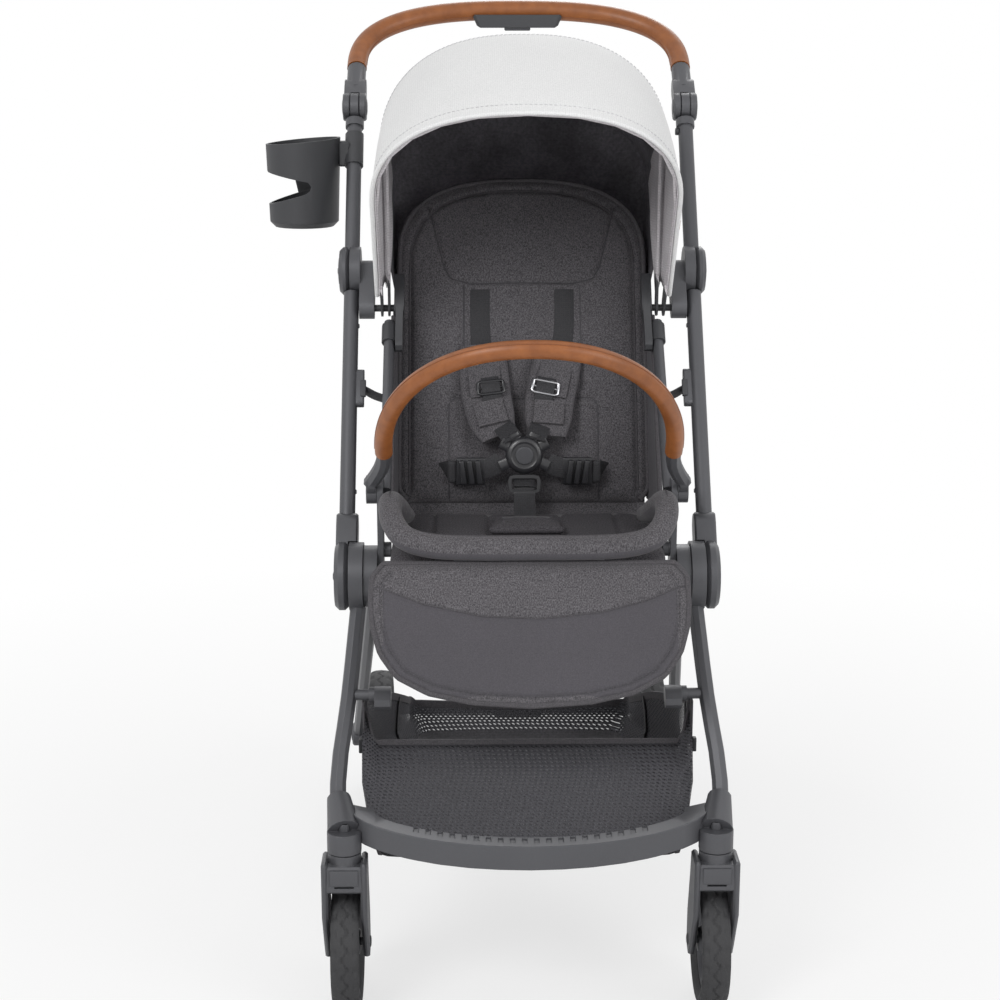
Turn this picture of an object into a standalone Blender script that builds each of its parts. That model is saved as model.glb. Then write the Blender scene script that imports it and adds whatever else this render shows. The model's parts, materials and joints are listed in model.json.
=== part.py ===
"""Compact folding stroller, built from its frame tubes outwards.

Metres, +Z up. The child faces -Y, the handle is at +Y, and +X is the right of someone looking at its front.
Every shape is written in the chassis frame: x = 0 is the plane of symmetry, y = 0 the front axle and
z = 0 the floor. One empty then moves it all, so that the origin is the middle of the footprint.
"""
import math

import bmesh
import bpy
import numpy as np
from mathutils import Matrix, Vector

# Wheels and castors
FRONT_TRACK_HALF = 0.192
FRONT_WHEEL_R = 0.070
FRONT_WHEEL_W = 0.030
CASTOR_TRAIL = 0.030
FORK_CHEEK = 0.0065
FORK_SIDE_GAP = 0.0020
STEM_R = 0.018
STEM_FOOT_Z = 0.186
STEM_HEIGHT = 0.062
POST_R = 0.0060
REAR_WHEEL_R = 0.085
REAR_WHEEL_W = 0.030
REAR_WHEEL_X = 0.180
AXLE_R = 0.0045
TYRE_DEPTH = 0.015

# Frame: lower hub, then the straight line of tubes that leans back from it
LOWER_HUB = (0.130, 0.435)
LOWER_HUB_R = 0.037
UPPER_HUB_R = 0.0275
FRAME_LEAN = math.radians(35)
MID_TUBE_LENGTH = 0.370
TOP_TUBE_LENGTH = 0.218
FRAME_X = 0.195
TUBE_R = 0.00875
REAR_TUBE_R = 0.0072
REAR_AXLE_Y = 0.600
REAR_LEG_HUB_X = 0.1679
REAR_LEG_FOOT_X = 0.2105
REAR_BEND = 0.050
BOOT_REACH = 0.008
CROSS_TUBE_AT = 0.470
CROSS_TUBE_R = 0.009
RUN_GAP = 0.0003
WELD = 0.000002

# Hub layers along X, from the seat outwards
SEAT_PLATE_X = (0.1535, 0.1600)
REAR_LAYER_X = (0.1603, 0.1754)
FRONT_LAYER_X = (0.1757, 0.1912)
PUSH_LAYER_X = (0.1915, 0.2065)
HUB_BOLT_R = 0.006
DRUM_INNER_X = (0.1845, 0.1967)
DRUM_OUTER_X = (0.1970, 0.2086)

# Front legs and the moulded front bar
LEG_HUB_X = 0.1786
LEG_KNEE = (0.1909, 0.0700, 0.3175)
LEG_SHIN = (0.2005, 0.0170, 0.2420)
LEG_FOOT = (0.1985, -0.0050, 0.2150)
BAR_TOP_Z = 0.201
BAR_FACE = 0.026
BAR_DEPTH = 0.034
BAR_END_INSET = 0.004
STUB_R = 0.0060
BAR_SWEEP = 0.0243
BAR_STEPS = 12
RIB_COUNT = 20
RIB_PITCH = 0.0124

# Handle
HANDLE_LEAN = math.radians(53)
HANDLE_REACH = 0.184
GRIP_START = 0.071
GRIP_R = 0.0118
SLEEVE_R = 0.0112
KNUCKLE_R = 0.0165
KNUCKLE_X = (0.1815, 0.2090)
TONGUE_X = (0.1905, 0.2000)
HANDLE_POWER = 2.6

# Cup holder, on the left tube as seen from the front
CUP_R = 0.044
CUP_WALL = 0.0025
CUP_HEIGHT = 0.104
CUP_DROP = 0.089
CUP_X = -0.2550
CUP_AT = 0.160

# Bumper bar
BUMPER_PIVOT = (0.125, 0.530)
BUMPER_RISE = math.radians(43.57)
BUMPER_REACH = 0.268
BUMPER_GRIP_START = 0.080
BUMPER_HALF = 0.150
BUMPER_R = 0.0092
BUMPER_POWER = 2.2
BUMPER_KNUCKLE_X = (0.1603, 0.1715)
BUMPER_KNUCKLE_R = 0.013
BUMPER_ARM_R = 0.0082

# Canopy: panels turned about one axis, nested like a fan
CANOPY_AXIS = (0.310, 0.700)
CANOPY_HALF = 0.165
CANOPY_FLAT = 0.170
CANOPY_CROWN = 0.140
CANOPY_POWER = 2.4
CANOPY_WALL = 0.0028
CANOPY_PITCH = 0.0080
BOW_INSET = 0.0042
BOW_WALL = 0.0026
CANOPY_LOW_R = 0.024
BOW_WIDTH = math.radians(4)
RIM_ANGLE = math.radians(132)
MID_BOW_ANGLE = math.radians(96)
REAR_BOW_ANGLE = math.radians(64)
CANOPY_BACK_ANGLE = math.radians(46)
EYE_R = 0.0095
PIN_R = 0.004
LOCK_R = 0.0042

# Seat
PAN_FRONT_Y = 0.050
PAN_REAR_Y = 0.246
PAN_Z = (0.452, 0.478)
PAN_HALF = 0.1455
CHANNEL_X = (0.0400, 0.1010)
CHANNEL_WIDTH = 0.0024
CHANNEL_DEPTH = 0.0020
RIM_R = 0.0130
SIDE_TUBE_X = 0.1510
SIDE_TUBE_R = 0.0060
HINGE_ROD_R = 0.0045
BACK_FOOT = (0.262, 0.484)
BACK_LEAN = math.radians(25.3)
BACK_LENGTH = 0.385
BACK_HALF = 0.143
BACK_THICK = 0.028
BACK_SHOULDER = 0.285
BACK_TUBE_R = 0.006
LEG_REST_AXIS = (0.030, 0.4685)
LEG_REST_HANG = math.radians(29)
LEG_REST_LENGTH = 0.150
LEG_REST_HALF = 0.162
LEG_REST_THICK = 0.016
BUTTON_R = 0.0105

# Basket
BASKET_HALF = 0.177
BASKET_WALL = 0.003
BASKET_EDGE = 0.0045

# Colours of the real finishes, linear RGB
SATIN_GREY = (0.090, 0.092, 0.104)
DARK_PLASTIC = (0.035, 0.035, 0.039)
TAN_LEATHER = (0.305, 0.098, 0.031)
PALE_KNIT = (0.720, 0.715, 0.715)
CHARCOAL = (0.078, 0.073, 0.083)
BASKET_MESH = (0.060, 0.060, 0.068)
TYRE_RUBBER = (0.036, 0.036, 0.038)
STEEL = (0.420, 0.420, 0.430)
BLACK_WEB = (0.022, 0.022, 0.025)

SIDES = (("left", -1), ("right", 1))


def clear_scene():
    for old in list(bpy.data.objects):
        bpy.data.objects.remove(old, do_unlink=True)


def new_collection(name):
    made = bpy.data.collections.new(name)
    bpy.context.scene.collection.children.link(made)
    return made


clear_scene()
PARTS = new_collection("compact_stroller")
CUTTERS = new_collection("cutters")


# Places that everything else is measured from

def along(start, angle_from_up, distance):
    """The (y, z) point at a distance from start, leaning back from straight up."""
    y = start[0] + distance * math.sin(angle_from_up)
    z = start[1] + distance * math.cos(angle_from_up)
    return (y, z)


UPPER_HUB = along(LOWER_HUB, FRAME_LEAN, MID_TUBE_LENGTH)
KNUCKLE = along(UPPER_HUB, FRAME_LEAN, TOP_TUBE_LENGTH)
REAR_AXLE = (REAR_AXLE_Y, REAR_WHEEL_R)
REAR_LEG_LENGTH = math.dist(LOWER_HUB, REAR_AXLE)
REAR_DIRECTION = math.atan2(REAR_AXLE[0] - LOWER_HUB[0], REAR_AXLE[1] - LOWER_HUB[1])
CROSS_TUBE = along(LOWER_HUB, REAR_DIRECTION, CROSS_TUBE_AT)
FRONT_AXLE = (0.0, FRONT_WHEEL_R)
STEM_Y = -CASTOR_TRAIL
FORK_HALF = FRONT_WHEEL_W / 2 + FORK_SIDE_GAP + FORK_CHEEK
CUP_PLACE = along(UPPER_HUB, FRAME_LEAN, CUP_AT)
LOCK_PLACE = along(KNUCKLE, FRAME_LEAN, -0.034)
BRACKET_PLACE = (LEG_KNEE[1] + 0.002, LEG_KNEE[2] + 0.0025)
RIGHTMOST = REAR_LEG_FOOT_X + BOOT_REACH
LEFTMOST = CUP_X - CUP_R
FRONTMOST = BUMPER_PIVOT[0] - BUMPER_REACH * math.cos(BUMPER_RISE) - BUMPER_R
REARMOST = REAR_AXLE[0] + REAR_WHEEL_R
ORIGIN_SHIFT = Vector((-(RIGHTMOST + LEFTMOST) / 2, -(FRONTMOST + REARMOST) / 2, 0))


# Materials

def material(name, colour, roughness, metallic=0.0):
    found = bpy.data.materials.get(name)
    if found:
        return found
    made = bpy.data.materials.new(name)
    made.use_nodes = True
    shader = made.node_tree.nodes["Principled BSDF"]
    shader.inputs["Base Color"].default_value = (*colour, 1)
    shader.inputs["Roughness"].default_value = roughness
    shader.inputs["Metallic"].default_value = metallic
    return made


FINISHES = {
    "satin": (SATIN_GREY, 0.45, 0.35),
    "plastic": (DARK_PLASTIC, 0.50, 0.0),
    "leather": (TAN_LEATHER, 0.55, 0.0),
    "knit": (PALE_KNIT, 0.85, 0.0),
    "heather": (CHARCOAL, 0.92, 0.0),
    "mesh": (BASKET_MESH, 0.90, 0.0),
    "rubber": (TYRE_RUBBER, 0.75, 0.0),
    "steel": (STEEL, 0.35, 1.0),
    "webbing": (BLACK_WEB, 0.85, 0.0),
}


# Bodies: an empty on each joint axis carries the pieces that move together

def empty(name, place, parent=None):
    made = bpy.data.objects.new(name, None)
    PARTS.objects.link(made)
    made.parent = parent
    made.location = place
    return made


ORIGIN = empty("chassis_frame", ORIGIN_SHIFT)
PLACES = {"front_frame": Vector((0, 0, 0))}
BODIES = {"front_frame": empty("axis_front_frame", (0, 0, 0), ORIGIN)}


def body(name, parent, place):
    """An empty at place, in chassis coordinates, hung on its parent's empty."""
    PLACES[name] = Vector(place)
    BODIES[name] = empty("axis_" + name, PLACES[name] - PLACES[parent], BODIES[parent])


def place_all(obj, name, on, finish):
    """Names a part, gives it its finish and hangs it on its body, with its shape left in place."""
    obj.name = name
    obj.data.name = name
    obj.data.materials.clear()
    obj.data.materials.append(material(name + "_finish", *FINISHES[finish]))
    obj.parent = BODIES[on]
    obj.matrix_parent_inverse = Matrix.Identity(4)
    obj.location = Vector(obj.location) - PLACES[on]
    return obj


# Shapes

def mesh_object(bm, smooth=True, sharp=40):
    mesh = bpy.data.meshes.new("shape")
    bmesh.ops.recalc_face_normals(bm, faces=bm.faces)
    bm.to_mesh(mesh)
    bm.free()
    if smooth:
        mesh.shade_smooth()
        mesh.set_sharp_from_angle(angle=math.radians(sharp))
    obj = bpy.data.objects.new("shape", mesh)
    PARTS.objects.link(obj)
    return obj


def to_mesh(obj):
    """The evaluated shape of a curve or of an object with modifiers, as a plain mesh in its place."""
    bpy.context.view_layer.update()
    evaluated = obj.evaluated_get(bpy.context.evaluated_depsgraph_get())
    mesh = bpy.data.meshes.new_from_object(evaluated)
    bm = bmesh.new()
    bm.from_mesh(mesh)
    bm.transform(obj.matrix_world)
    bmesh.ops.remove_doubles(bm, verts=bm.verts, dist=WELD)
    bpy.data.objects.remove(obj, do_unlink=True)
    return mesh_object(bm)


def combine(first, *others, operation="UNION"):
    """A Boolean of closed solids, applied, with the other shapes removed."""
    for other in others:
        modifier = first.modifiers.new("combine", "BOOLEAN")
        modifier.operation = operation
        modifier.object = other
        modifier.solver = "EXACT"
        first = to_mesh(first)
        bpy.data.objects.remove(other, do_unlink=True)
    return first


def cut(first, *others):
    return combine(first, *others, operation="DIFFERENCE")


def bevelled(obj, width, segments=1, angle=35):
    modifier = obj.modifiers.new("edges", "BEVEL")
    modifier.width = width
    modifier.segments = segments
    modifier.limit_method = "ANGLE"
    modifier.angle_limit = math.radians(angle)
    return to_mesh(obj)


def block(low, high, edge=0.0, segments=1):
    bm = bmesh.new()
    bmesh.ops.create_cube(bm, size=1)
    low, high = Vector(low), Vector(high)
    size = high - low
    bmesh.ops.scale(bm, verts=bm.verts, vec=size)
    bmesh.ops.translate(bm, verts=bm.verts, vec=(low + high) / 2)
    obj = mesh_object(bm)
    if edge:
        obj = bevelled(obj, edge, segments)
    return obj


def facets(radius):
    """Sides for a round piece: twelve at least, so that a bore clears its pin as it turns."""
    return 12 + 2 * (radius > 0.0085) + 4 * (radius > 0.0205) + 4 * (radius > 0.0320)


def cylinder_x(x_range, centre, radius, edge=0.0):
    """A solid disc or pin whose axis is along X."""
    low, high = sorted(x_range)
    bm = bmesh.new()
    bmesh.ops.create_cone(
        bm, cap_ends=True, segments=facets(radius), radius1=radius, radius2=radius, depth=high - low
    )
    turn = Matrix.Rotation(math.pi / 2, 4, "Y")
    move = Matrix.Translation(((low + high) / 2, centre[0], centre[1]))
    bmesh.ops.transform(bm, matrix=move @ turn, verts=bm.verts)
    obj = mesh_object(bm)
    if edge:
        obj = bevelled(obj, edge, 1, 60)
    return obj


def ring_x(x_range, centre, outer, inner, edge=0.0):
    """A disc with a bore, its axis along X."""
    disc = cylinder_x(x_range, centre, outer, edge)
    low, high = sorted(x_range)
    bore = cylinder_x((low - 0.01, high + 0.01), centre, inner)
    return cut(disc, bore)


def rod(start, end, radius, end_radius=None):
    """A straight round bar between two points."""
    start, end = Vector(start), Vector(end)
    bm = bmesh.new()
    bmesh.ops.create_cone(
        bm, cap_ends=True, segments=facets(radius), radius1=radius,
        radius2=radius if end_radius is None else end_radius, depth=(end - start).length,
    )
    turn = (end - start).to_track_quat("Z", "Y").to_matrix().to_4x4()
    bmesh.ops.transform(bm, matrix=Matrix.Translation((start + end) / 2) @ turn, verts=bm.verts)
    return mesh_object(bm)


def tube(points, radius, resolution=3, smooth_curve=True, steps=3):
    """A round tube through points: a curve with a bevel and filled caps."""
    curve = bpy.data.curves.new("tube", "CURVE")
    curve.dimensions = "3D"
    curve.bevel_depth = radius
    curve.bevel_resolution = resolution
    curve.use_fill_caps = True
    kind = "BEZIER" if smooth_curve else "POLY"
    spline = curve.splines.new(kind)
    curve.resolution_u = steps
    if smooth_curve:
        spline.bezier_points.add(len(points) - 1)
        for knot, place in zip(spline.bezier_points, points):
            knot.co = place
            knot.handle_left_type = "AUTO"
            knot.handle_right_type = "AUTO"
    else:
        spline.points.add(len(points) - 1)
        for knot, place in zip(spline.points, points):
            knot.co = (*place, 1)
    obj = bpy.data.objects.new("tube", curve)
    PARTS.objects.link(obj)
    return to_mesh(obj)


def plate(outline, thickness, edge=0.0, segments=1):
    """A flat outline in XY, made solid about z = 0."""
    curve = bpy.data.curves.new("plate", "CURVE")
    curve.dimensions = "2D"
    curve.fill_mode = "BOTH"
    curve.extrude = thickness / 2
    spline = curve.splines.new("POLY")
    spline.points.add(len(outline) - 1)
    for knot, place in zip(spline.points, outline):
        knot.co = (place[0], place[1], 0, 1)
    spline.use_cyclic_u = True
    obj = bpy.data.objects.new("plate", curve)
    PARTS.objects.link(obj)
    obj = to_mesh(obj)
    if edge:
        obj = bevelled(obj, edge, segments)
    return obj


def moved(obj, matrix):
    obj.data.transform(matrix)
    return obj


def arch(half, rise, power, count, start=0.0):
    """Points of a superellipse arch from (-half, start) over (0, start + rise) to (half, start)."""
    points = []
    for i in range(count + 1):
        angle = math.pi * i / count
        c, s = math.cos(angle), math.sin(angle)
        x = -math.copysign(abs(c) ** (2 / power), c) * half
        points.append((x, start + rise * max(s, 0) ** (2 / power)))
    return points


def in_plane(x, distance, base, lean):
    """A point at a distance up a plane that leans back from the (y, z) point base."""
    y, z = along(base, lean, distance)
    return (x, y, z)


def capsule(start, end, radius, count=8):
    """A flat outline in (y, z): two round ends joined by straight sides."""
    start, end = Vector(start), Vector(end)
    heading = math.atan2(*(end - start).yx)
    points = []
    for centre, base in ((end, heading - math.pi / 2), (start, heading + math.pi / 2)):
        for i in range(count + 1):
            angle = base + math.pi * i / count
            points.append((centre.x + radius * math.cos(angle), centre.y + radius * math.sin(angle)))
    return points


def side_plate(outline, x_range, edge=0.0):
    """A flat outline in (y, z), made solid between two values of x."""
    low, high = sorted(x_range)
    obj = plate(outline, high - low, edge)
    upright = Matrix(((0, 0, 1, (low + high) / 2), (1, 0, 0, 0), (0, 1, 0, 0), (0, 0, 0, 1)))
    return moved(obj, upright)


def sided(x_range, sign):
    return tuple(sorted((x_range[0] * sign, x_range[1] * sign)))


# Bodies and their joint axes

def make_bodies():
    body("push_frame", "front_frame", (0, *LOWER_HUB))
    body("rear_frame", "front_frame", (0, *LOWER_HUB))
    body("handle_frame", "push_frame", (0, *UPPER_HUB))
    body("handle_bar", "handle_frame", (0, *KNUCKLE))
    body("fold_button", "handle_bar", (0, *handle_point(HANDLE_REACH)))
    body("lock_button", "handle_frame", (FRAME_X, *LOCK_PLACE))
    body("bumper", "push_frame", (0, *BUMPER_PIVOT))
    body("seat_back", "push_frame", (0, *BACK_HINGE))
    body("leg_rest", "push_frame", (0, *LEG_REST_AXIS))
    body("canopy_front", "push_frame", (0, *CANOPY_AXIS))
    body("canopy_middle", "push_frame", (0, *CANOPY_AXIS))
    body("buckle_button", "push_frame", (0, *BUCKLE_PLACE))
    body("brake_pedal", "rear_frame", (0, *CROSS_TUBE))
    for side, sign in SIDES:
        body("castor_" + side, "front_frame", (sign * FRONT_TRACK_HALF, STEM_Y, STEM_FOOT_Z))
        body("front_wheel_" + side, "castor_" + side, (sign * FRONT_TRACK_HALF, *FRONT_AXLE))
        body("rear_wheel_" + side, "rear_frame", (sign * REAR_WHEEL_X, *REAR_AXLE))


def handle_point(distance):
    return along(KNUCKLE, HANDLE_LEAN, distance)


BACK_HINGE = (BACK_FOOT[0] + 0.004, BACK_FOOT[1] - 0.022)
BUCKLE_PLACE = (0.238, 0.5445)


# Wheels: a tyre turned from its section, on a spoked hub

def wheel(place, radius, width, sign, on, label):
    """Tyre and hub as two pieces, with a bore for the axle."""
    x, y, z = place
    half = width / 2
    crown = 0.35
    section = [
        (half * 0.62, radius - TYRE_DEPTH), (half, radius - TYRE_DEPTH * crown), (half * 0.55, radius - 0.0012),
        (0, radius),
    ]
    profile = section + [(-a, r) for a, r in reversed(section[:-1])]
    tyre = turned_x(profile, place, closed=True, steps=20)
    place_all(tyre, label + "_tyre_" + side_name(sign), on, "rubber")
    rim_out = radius - TYRE_DEPTH - RUN_GAP
    web = half * 0.22
    half_hub = [(half * 0.55, rim_out), (half * 0.60, rim_out - 0.005), (web, rim_out - 0.010),
                (web, 0.017), (half * 0.9, 0.0125), (half * 0.9, AXLE_R + RUN_GAP)]
    hub = turned_x(half_hub + [(-a, r) for a, r in reversed(half_hub)], place, closed=True, steps=20)
    place_all(hub, label + "_hub_" + side_name(sign), on, "satin")


def side_name(sign):
    return "left" if sign < 0 else "right"


def turned_x(profile, centre, closed=False, steps=32, start=0.0, sweep=2 * math.pi):
    """A profile of (x offset, radius) turned about the line through centre along X."""
    bm = bmesh.new()
    full = abs(sweep - 2 * math.pi) < 1e-6
    rows = []
    count = steps if full else steps + 1
    for i in range(count):
        angle = start + sweep * i / steps
        row = []
        for offset, r in profile:
            place = (centre[0] + offset, centre[1] + r * math.cos(angle), centre[2] + r * math.sin(angle))
            row.append(bm.verts.new(place))
        rows.append(row)
    last = len(rows) if full else len(rows) - 1
    columns = len(profile) if closed else len(profile) - 1
    for i in range(last):
        a, b = rows[i], rows[(i + 1) % len(rows)]
        for k in range(columns):
            m = (k + 1) % len(profile)
            bm.faces.new((a[k], a[m], b[m], b[k]))
    return mesh_object(bm)


def front_wheels():
    for side, sign in SIDES:
        x = sign * FRONT_TRACK_HALF
        wheel((x, *FRONT_AXLE), FRONT_WHEEL_R, FRONT_WHEEL_W, sign, "front_wheel_" + side, "front")
        fork(side, sign, x)


def fork(side, sign, x):
    """Two cheeks on a bridge with the axle between them, under a round collar that turns on the stem."""
    inner = FRONT_WHEEL_W / 2 + FORK_SIDE_GAP
    y0 = STEM_Y
    top = STEM_FOOT_Z - 0.0012
    cheek = [
        (y0 - 0.022, top - 0.006), (y0 - 0.020, 0.118), (FRONT_AXLE[0] - 0.014, 0.062),
        (FRONT_AXLE[0] - 0.010, 0.0565), (FRONT_AXLE[0], 0.054), (FRONT_AXLE[0] + 0.010, 0.0575),
        (FRONT_AXLE[0] + 0.015, 0.067), (FRONT_AXLE[0] + 0.012, 0.100), (y0 + 0.024, 0.150),
        (y0 + 0.016, top - 0.006),
    ]
    pieces = []
    for way in (-1, 1):
        x_range = sided((inner, inner + FORK_CHEEK), way)
        pieces.append(side_plate(cheek, (x + x_range[0], x + x_range[1]), 0.0022))
    bridge = block((x - inner - 0.0034, y0 - 0.0196, 0.1455), (x + inner + 0.0034, y0 + 0.014, top - 0.010), 0.002)
    collar = rod((x, y0, top - 0.016), (x, y0, top), STEM_R * 0.97)
    body_piece = combine(pieces[0], bridge, pieces[1], collar)
    post = rod((x, y0, top - 0.004), (x, y0, STEM_FOOT_Z + 0.030), POST_R)
    body_piece = combine(body_piece, post)
    slot = block((x - 0.010, y0 - 0.030, 0.1515), (x + 0.010, y0 - 0.014, 0.1535))
    body_piece = cut(body_piece, slot)
    axle = cylinder_x((x - inner - 0.003, x + inner + 0.003), FRONT_AXLE, AXLE_R)
    place_all(combine(body_piece, axle), "fork_" + side, "castor_" + side, "satin")


# Front frame: splayed legs, moulded bar with a ribbed foot plate, and the lower hub discs

def front_frame():
    for side, sign in SIDES:
        leg(side, sign)
        stem(side, sign)
    front_bar()


def unit(a, b):
    return (Vector(b) - Vector(a)).normalized()


def mirrored(point, sign):
    return Vector((sign * point[0], point[1], point[2]))


def leg(side, sign):
    """The bent leg tube, the hub disc that it ends in and the bracket for the basket."""
    knee, shin, foot = (mirrored(place, sign) for place in (LEG_KNEE, LEG_SHIN, LEG_FOOT))
    hub = mirrored((LEG_HUB_X, *LOWER_HUB), sign)
    top = hub + unit(hub, knee) * (LOWER_HUB_R - 0.003)
    pipe = tube([top, knee, shin, foot], TUBE_R, 2, True, 3)
    disc = ring_x(sided(FRONT_LAYER_X, sign), LOWER_HUB, LOWER_HUB_R, HUB_BOLT_R + RUN_GAP)
    place_all(combine(disc, pipe, leg_bracket(sign)), "front_leg_" + side, "front_frame", "satin")


def stem_shape(sign, room=0.0):
    """Upright column and the shoulder that leans from it along the leg, with some room round them."""
    x = sign * FRONT_TRACK_HALF
    column = rod((x, STEM_Y, STEM_FOOT_Z - room), (x, STEM_Y, STEM_FOOT_Z + 0.022 + room), STEM_R + room)
    start = Vector((x, STEM_Y, STEM_FOOT_Z + 0.0205))
    end = Vector((sign * (LEG_SHIN[0] - 0.001), 0.008, STEM_FOOT_Z + STEM_HEIGHT - 0.020))
    beyond = unit(start, end) * room
    shoulder = rod(start - beyond, end + beyond, STEM_R * 0.985 + room, 0.0125 + room)
    return column, shoulder


def stem(side, sign):
    """The moulded housing that holds the leg's foot, the bar's end and the castor's post."""
    x = sign * FRONT_TRACK_HALF
    made = combine(*stem_shape(sign))
    foot, shin = mirrored(LEG_FOOT, sign), mirrored(LEG_SHIN, sign)
    heading = unit(foot, shin)
    socket = rod(foot - heading * 0.0010, foot + heading * 0.06, TUBE_R + 0.0006)
    bore = rod((x, STEM_Y, STEM_FOOT_Z - 0.01), (x, STEM_Y, STEM_FOOT_Z + 0.031), POST_R + RUN_GAP)
    place_all(cut(made, socket, bore), "stem_housing_" + side, "front_frame", "satin")


def bar_path(offset, count=18):
    """The bar's line seen from above: nearly straight in front, with round corners into the legs."""
    half = FRONT_TRACK_HALF - BAR_END_INSET - offset
    depth = 0.062 - offset
    return [(x, 0.002 - d) for x, d in arch(half, depth, 3.0, count)]


def swept_up(obj):
    """Lifts the bar towards its ends in short straight steps, so that every face stays flat."""
    knots = [FRONT_TRACK_HALF * (2 * i / BAR_STEPS - 1) for i in range(BAR_STEPS + 1)]
    lifts = [BAR_SWEEP * (x / FRONT_TRACK_HALF) ** 2 for x in knots]
    bm = bmesh.new()
    bm.from_mesh(obj.data)
    bpy.data.objects.remove(obj, do_unlink=True)
    for x in knots:
        geometry = bm.verts[:] + bm.edges[:] + bm.faces[:]
        bmesh.ops.bisect_plane(bm, geom=geometry, dist=0.000001, plane_co=(x, 0, 0), plane_no=(1, 0, 0))
    for vert in bm.verts:
        vert.co.z += float(np.interp(vert.co.x, knots, lifts))
    return mesh_object(bm)


def front_bar():
    """The moulded bar between the two stems, with a row of grooves across its top as a foot plate."""
    outline = bar_path(0.0) + list(reversed(bar_path(BAR_DEPTH * 0.75)))
    made = plate(outline, BAR_FACE, 0.004)
    made = moved(made, Matrix.Translation((0, 0, BAR_TOP_Z - BAR_FACE / 2)))
    grooves = bmesh.new()
    for i in range(RIB_COUNT):
        x = (i - (RIB_COUNT - 1) / 2) * RIB_PITCH
        cube = bmesh.ops.create_cube(grooves, size=1)["verts"]
        lift = 0.010 * (abs(x) / 0.125) ** 2
        bmesh.ops.scale(grooves, verts=cube, vec=(RIB_PITCH * 0.42, 0.013, 0.004))
        bmesh.ops.translate(grooves, verts=cube, vec=(x, -0.0445 + lift, BAR_TOP_Z + 0.0005))
    made = cut(made, mesh_object(grooves, smooth=False))
    made = swept_up(made)
    for side, sign in SIDES:
        made = cut(made, *stem_shape(sign, RUN_GAP))
    place_all(made, "front_bar", "front_frame", "satin")


def leg_bracket(sign):
    """Stub, ribbed clamp and curved tab on the inside of a leg, from which the basket hangs."""
    y, z = BRACKET_PLACE
    face = LEG_KNEE[0] - TUBE_R - 0.0004
    stub = cylinder_x(sided((face - 0.013, LEG_KNEE[0] - 0.004), sign), (y, z), STUB_R)
    clamp = cylinder_x(sided((face - 0.019, face - 0.0125), sign), (y, z), 0.0085)
    tab = side_plate(capsule((y, z), (y - 0.010, z - 0.004), 0.0090, 4), sided((face - 0.036, face - 0.0185), sign))
    return combine(clamp, stub, tab)


# Push frame: middle tubes, hub pods, upper hub drums, seat plates and side tubes

def push_frame():
    for side, sign in SIDES:
        start = along(LOWER_HUB, FRAME_LEAN, LOWER_HUB_R + 0.0006)
        end = along(UPPER_HUB, FRAME_LEAN, -UPPER_HUB_R - 0.0006)
        mid = rod((sign * FRAME_X, *start), (sign * FRAME_X, *end), TUBE_R)
        place_all(combine(mid, strap_buckle(sign)), "middle_tube_" + side, "push_frame", "satin")
        hub_pod(side, sign)
        upper_drum(side, sign)
        seat_side(side, sign)
        place_all(canopy_clip(sign), "canopy_clip_" + side, "push_frame", "plastic")


def hub_bolt(sign):
    """The bolt through all layers of the lower hub, with a wide head on the seat plate."""
    shank = cylinder_x(sided((SEAT_PLATE_X[0] - 0.002, PUSH_LAYER_X[0] + 0.004), sign), LOWER_HUB, HUB_BOLT_R)
    head = cylinder_x(sided((SEAT_PLATE_X[0] - 0.0035, SEAT_PLATE_X[0] + 0.001), sign), LOWER_HUB, 0.0095)
    return combine(head, shank)


def hub_pod(side, sign):
    """The outer cover of the lower hub, drawn out along the tube that it holds."""
    tail = along(LOWER_HUB, FRAME_LEAN, 0.058)
    cover = side_plate(capsule(LOWER_HUB, tail, 0.0140, 6), sided((FRAME_X - 0.0124, FRAME_X + 0.0112), sign), 0.004)
    room_low = cylinder_x(sided((FRAME_X - 0.03, PUSH_LAYER_X[0] + 0.0012), sign), LOWER_HUB, LOWER_HUB_R + 0.001)
    cover = cut(cover, room_low)
    disc = cylinder_x(sided(PUSH_LAYER_X, sign), LOWER_HUB, LOWER_HUB_R, 0.0045)
    made = combine(disc, cover)
    start = along(LOWER_HUB, FRAME_LEAN, LOWER_HUB_R)
    end = along(LOWER_HUB, FRAME_LEAN, LOWER_HUB_R + 0.060)
    room = rod((sign * FRAME_X, *start), (sign * FRAME_X, *end), TUBE_R + RUN_GAP)
    bore = cylinder_x(sided((PUSH_LAYER_X[0] - 0.01, PUSH_LAYER_X[0] + 0.0043), sign), LOWER_HUB,
                      HUB_BOLT_R + RUN_GAP)
    place_all(cut(made, room, bore), "hub_pod_" + side, "push_frame", "satin")


def upper_drum(side, sign):
    """The inner half of the upper hub, its socket on the tube, and the arm that reaches to the seat's clip."""
    drum = cylinder_x(sided(DRUM_INNER_X, sign), UPPER_HUB, UPPER_HUB_R)
    arm_x = (CANOPY_HALF + 0.0033, DRUM_INNER_X[0] + 0.001)
    arm = side_plate(capsule(UPPER_HUB, CANOPY_AXIS, 0.0125, 5), sided(arm_x, sign))
    made = combine(drum, arm)
    hole = cylinder_x(sided((arm_x[0] - 0.01, arm_x[0] + 0.0103), sign), CANOPY_AXIS, PIN_R + RUN_GAP)
    place_all(cut(made, hole), "seat_arm_" + side, "push_frame", "satin")


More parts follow.
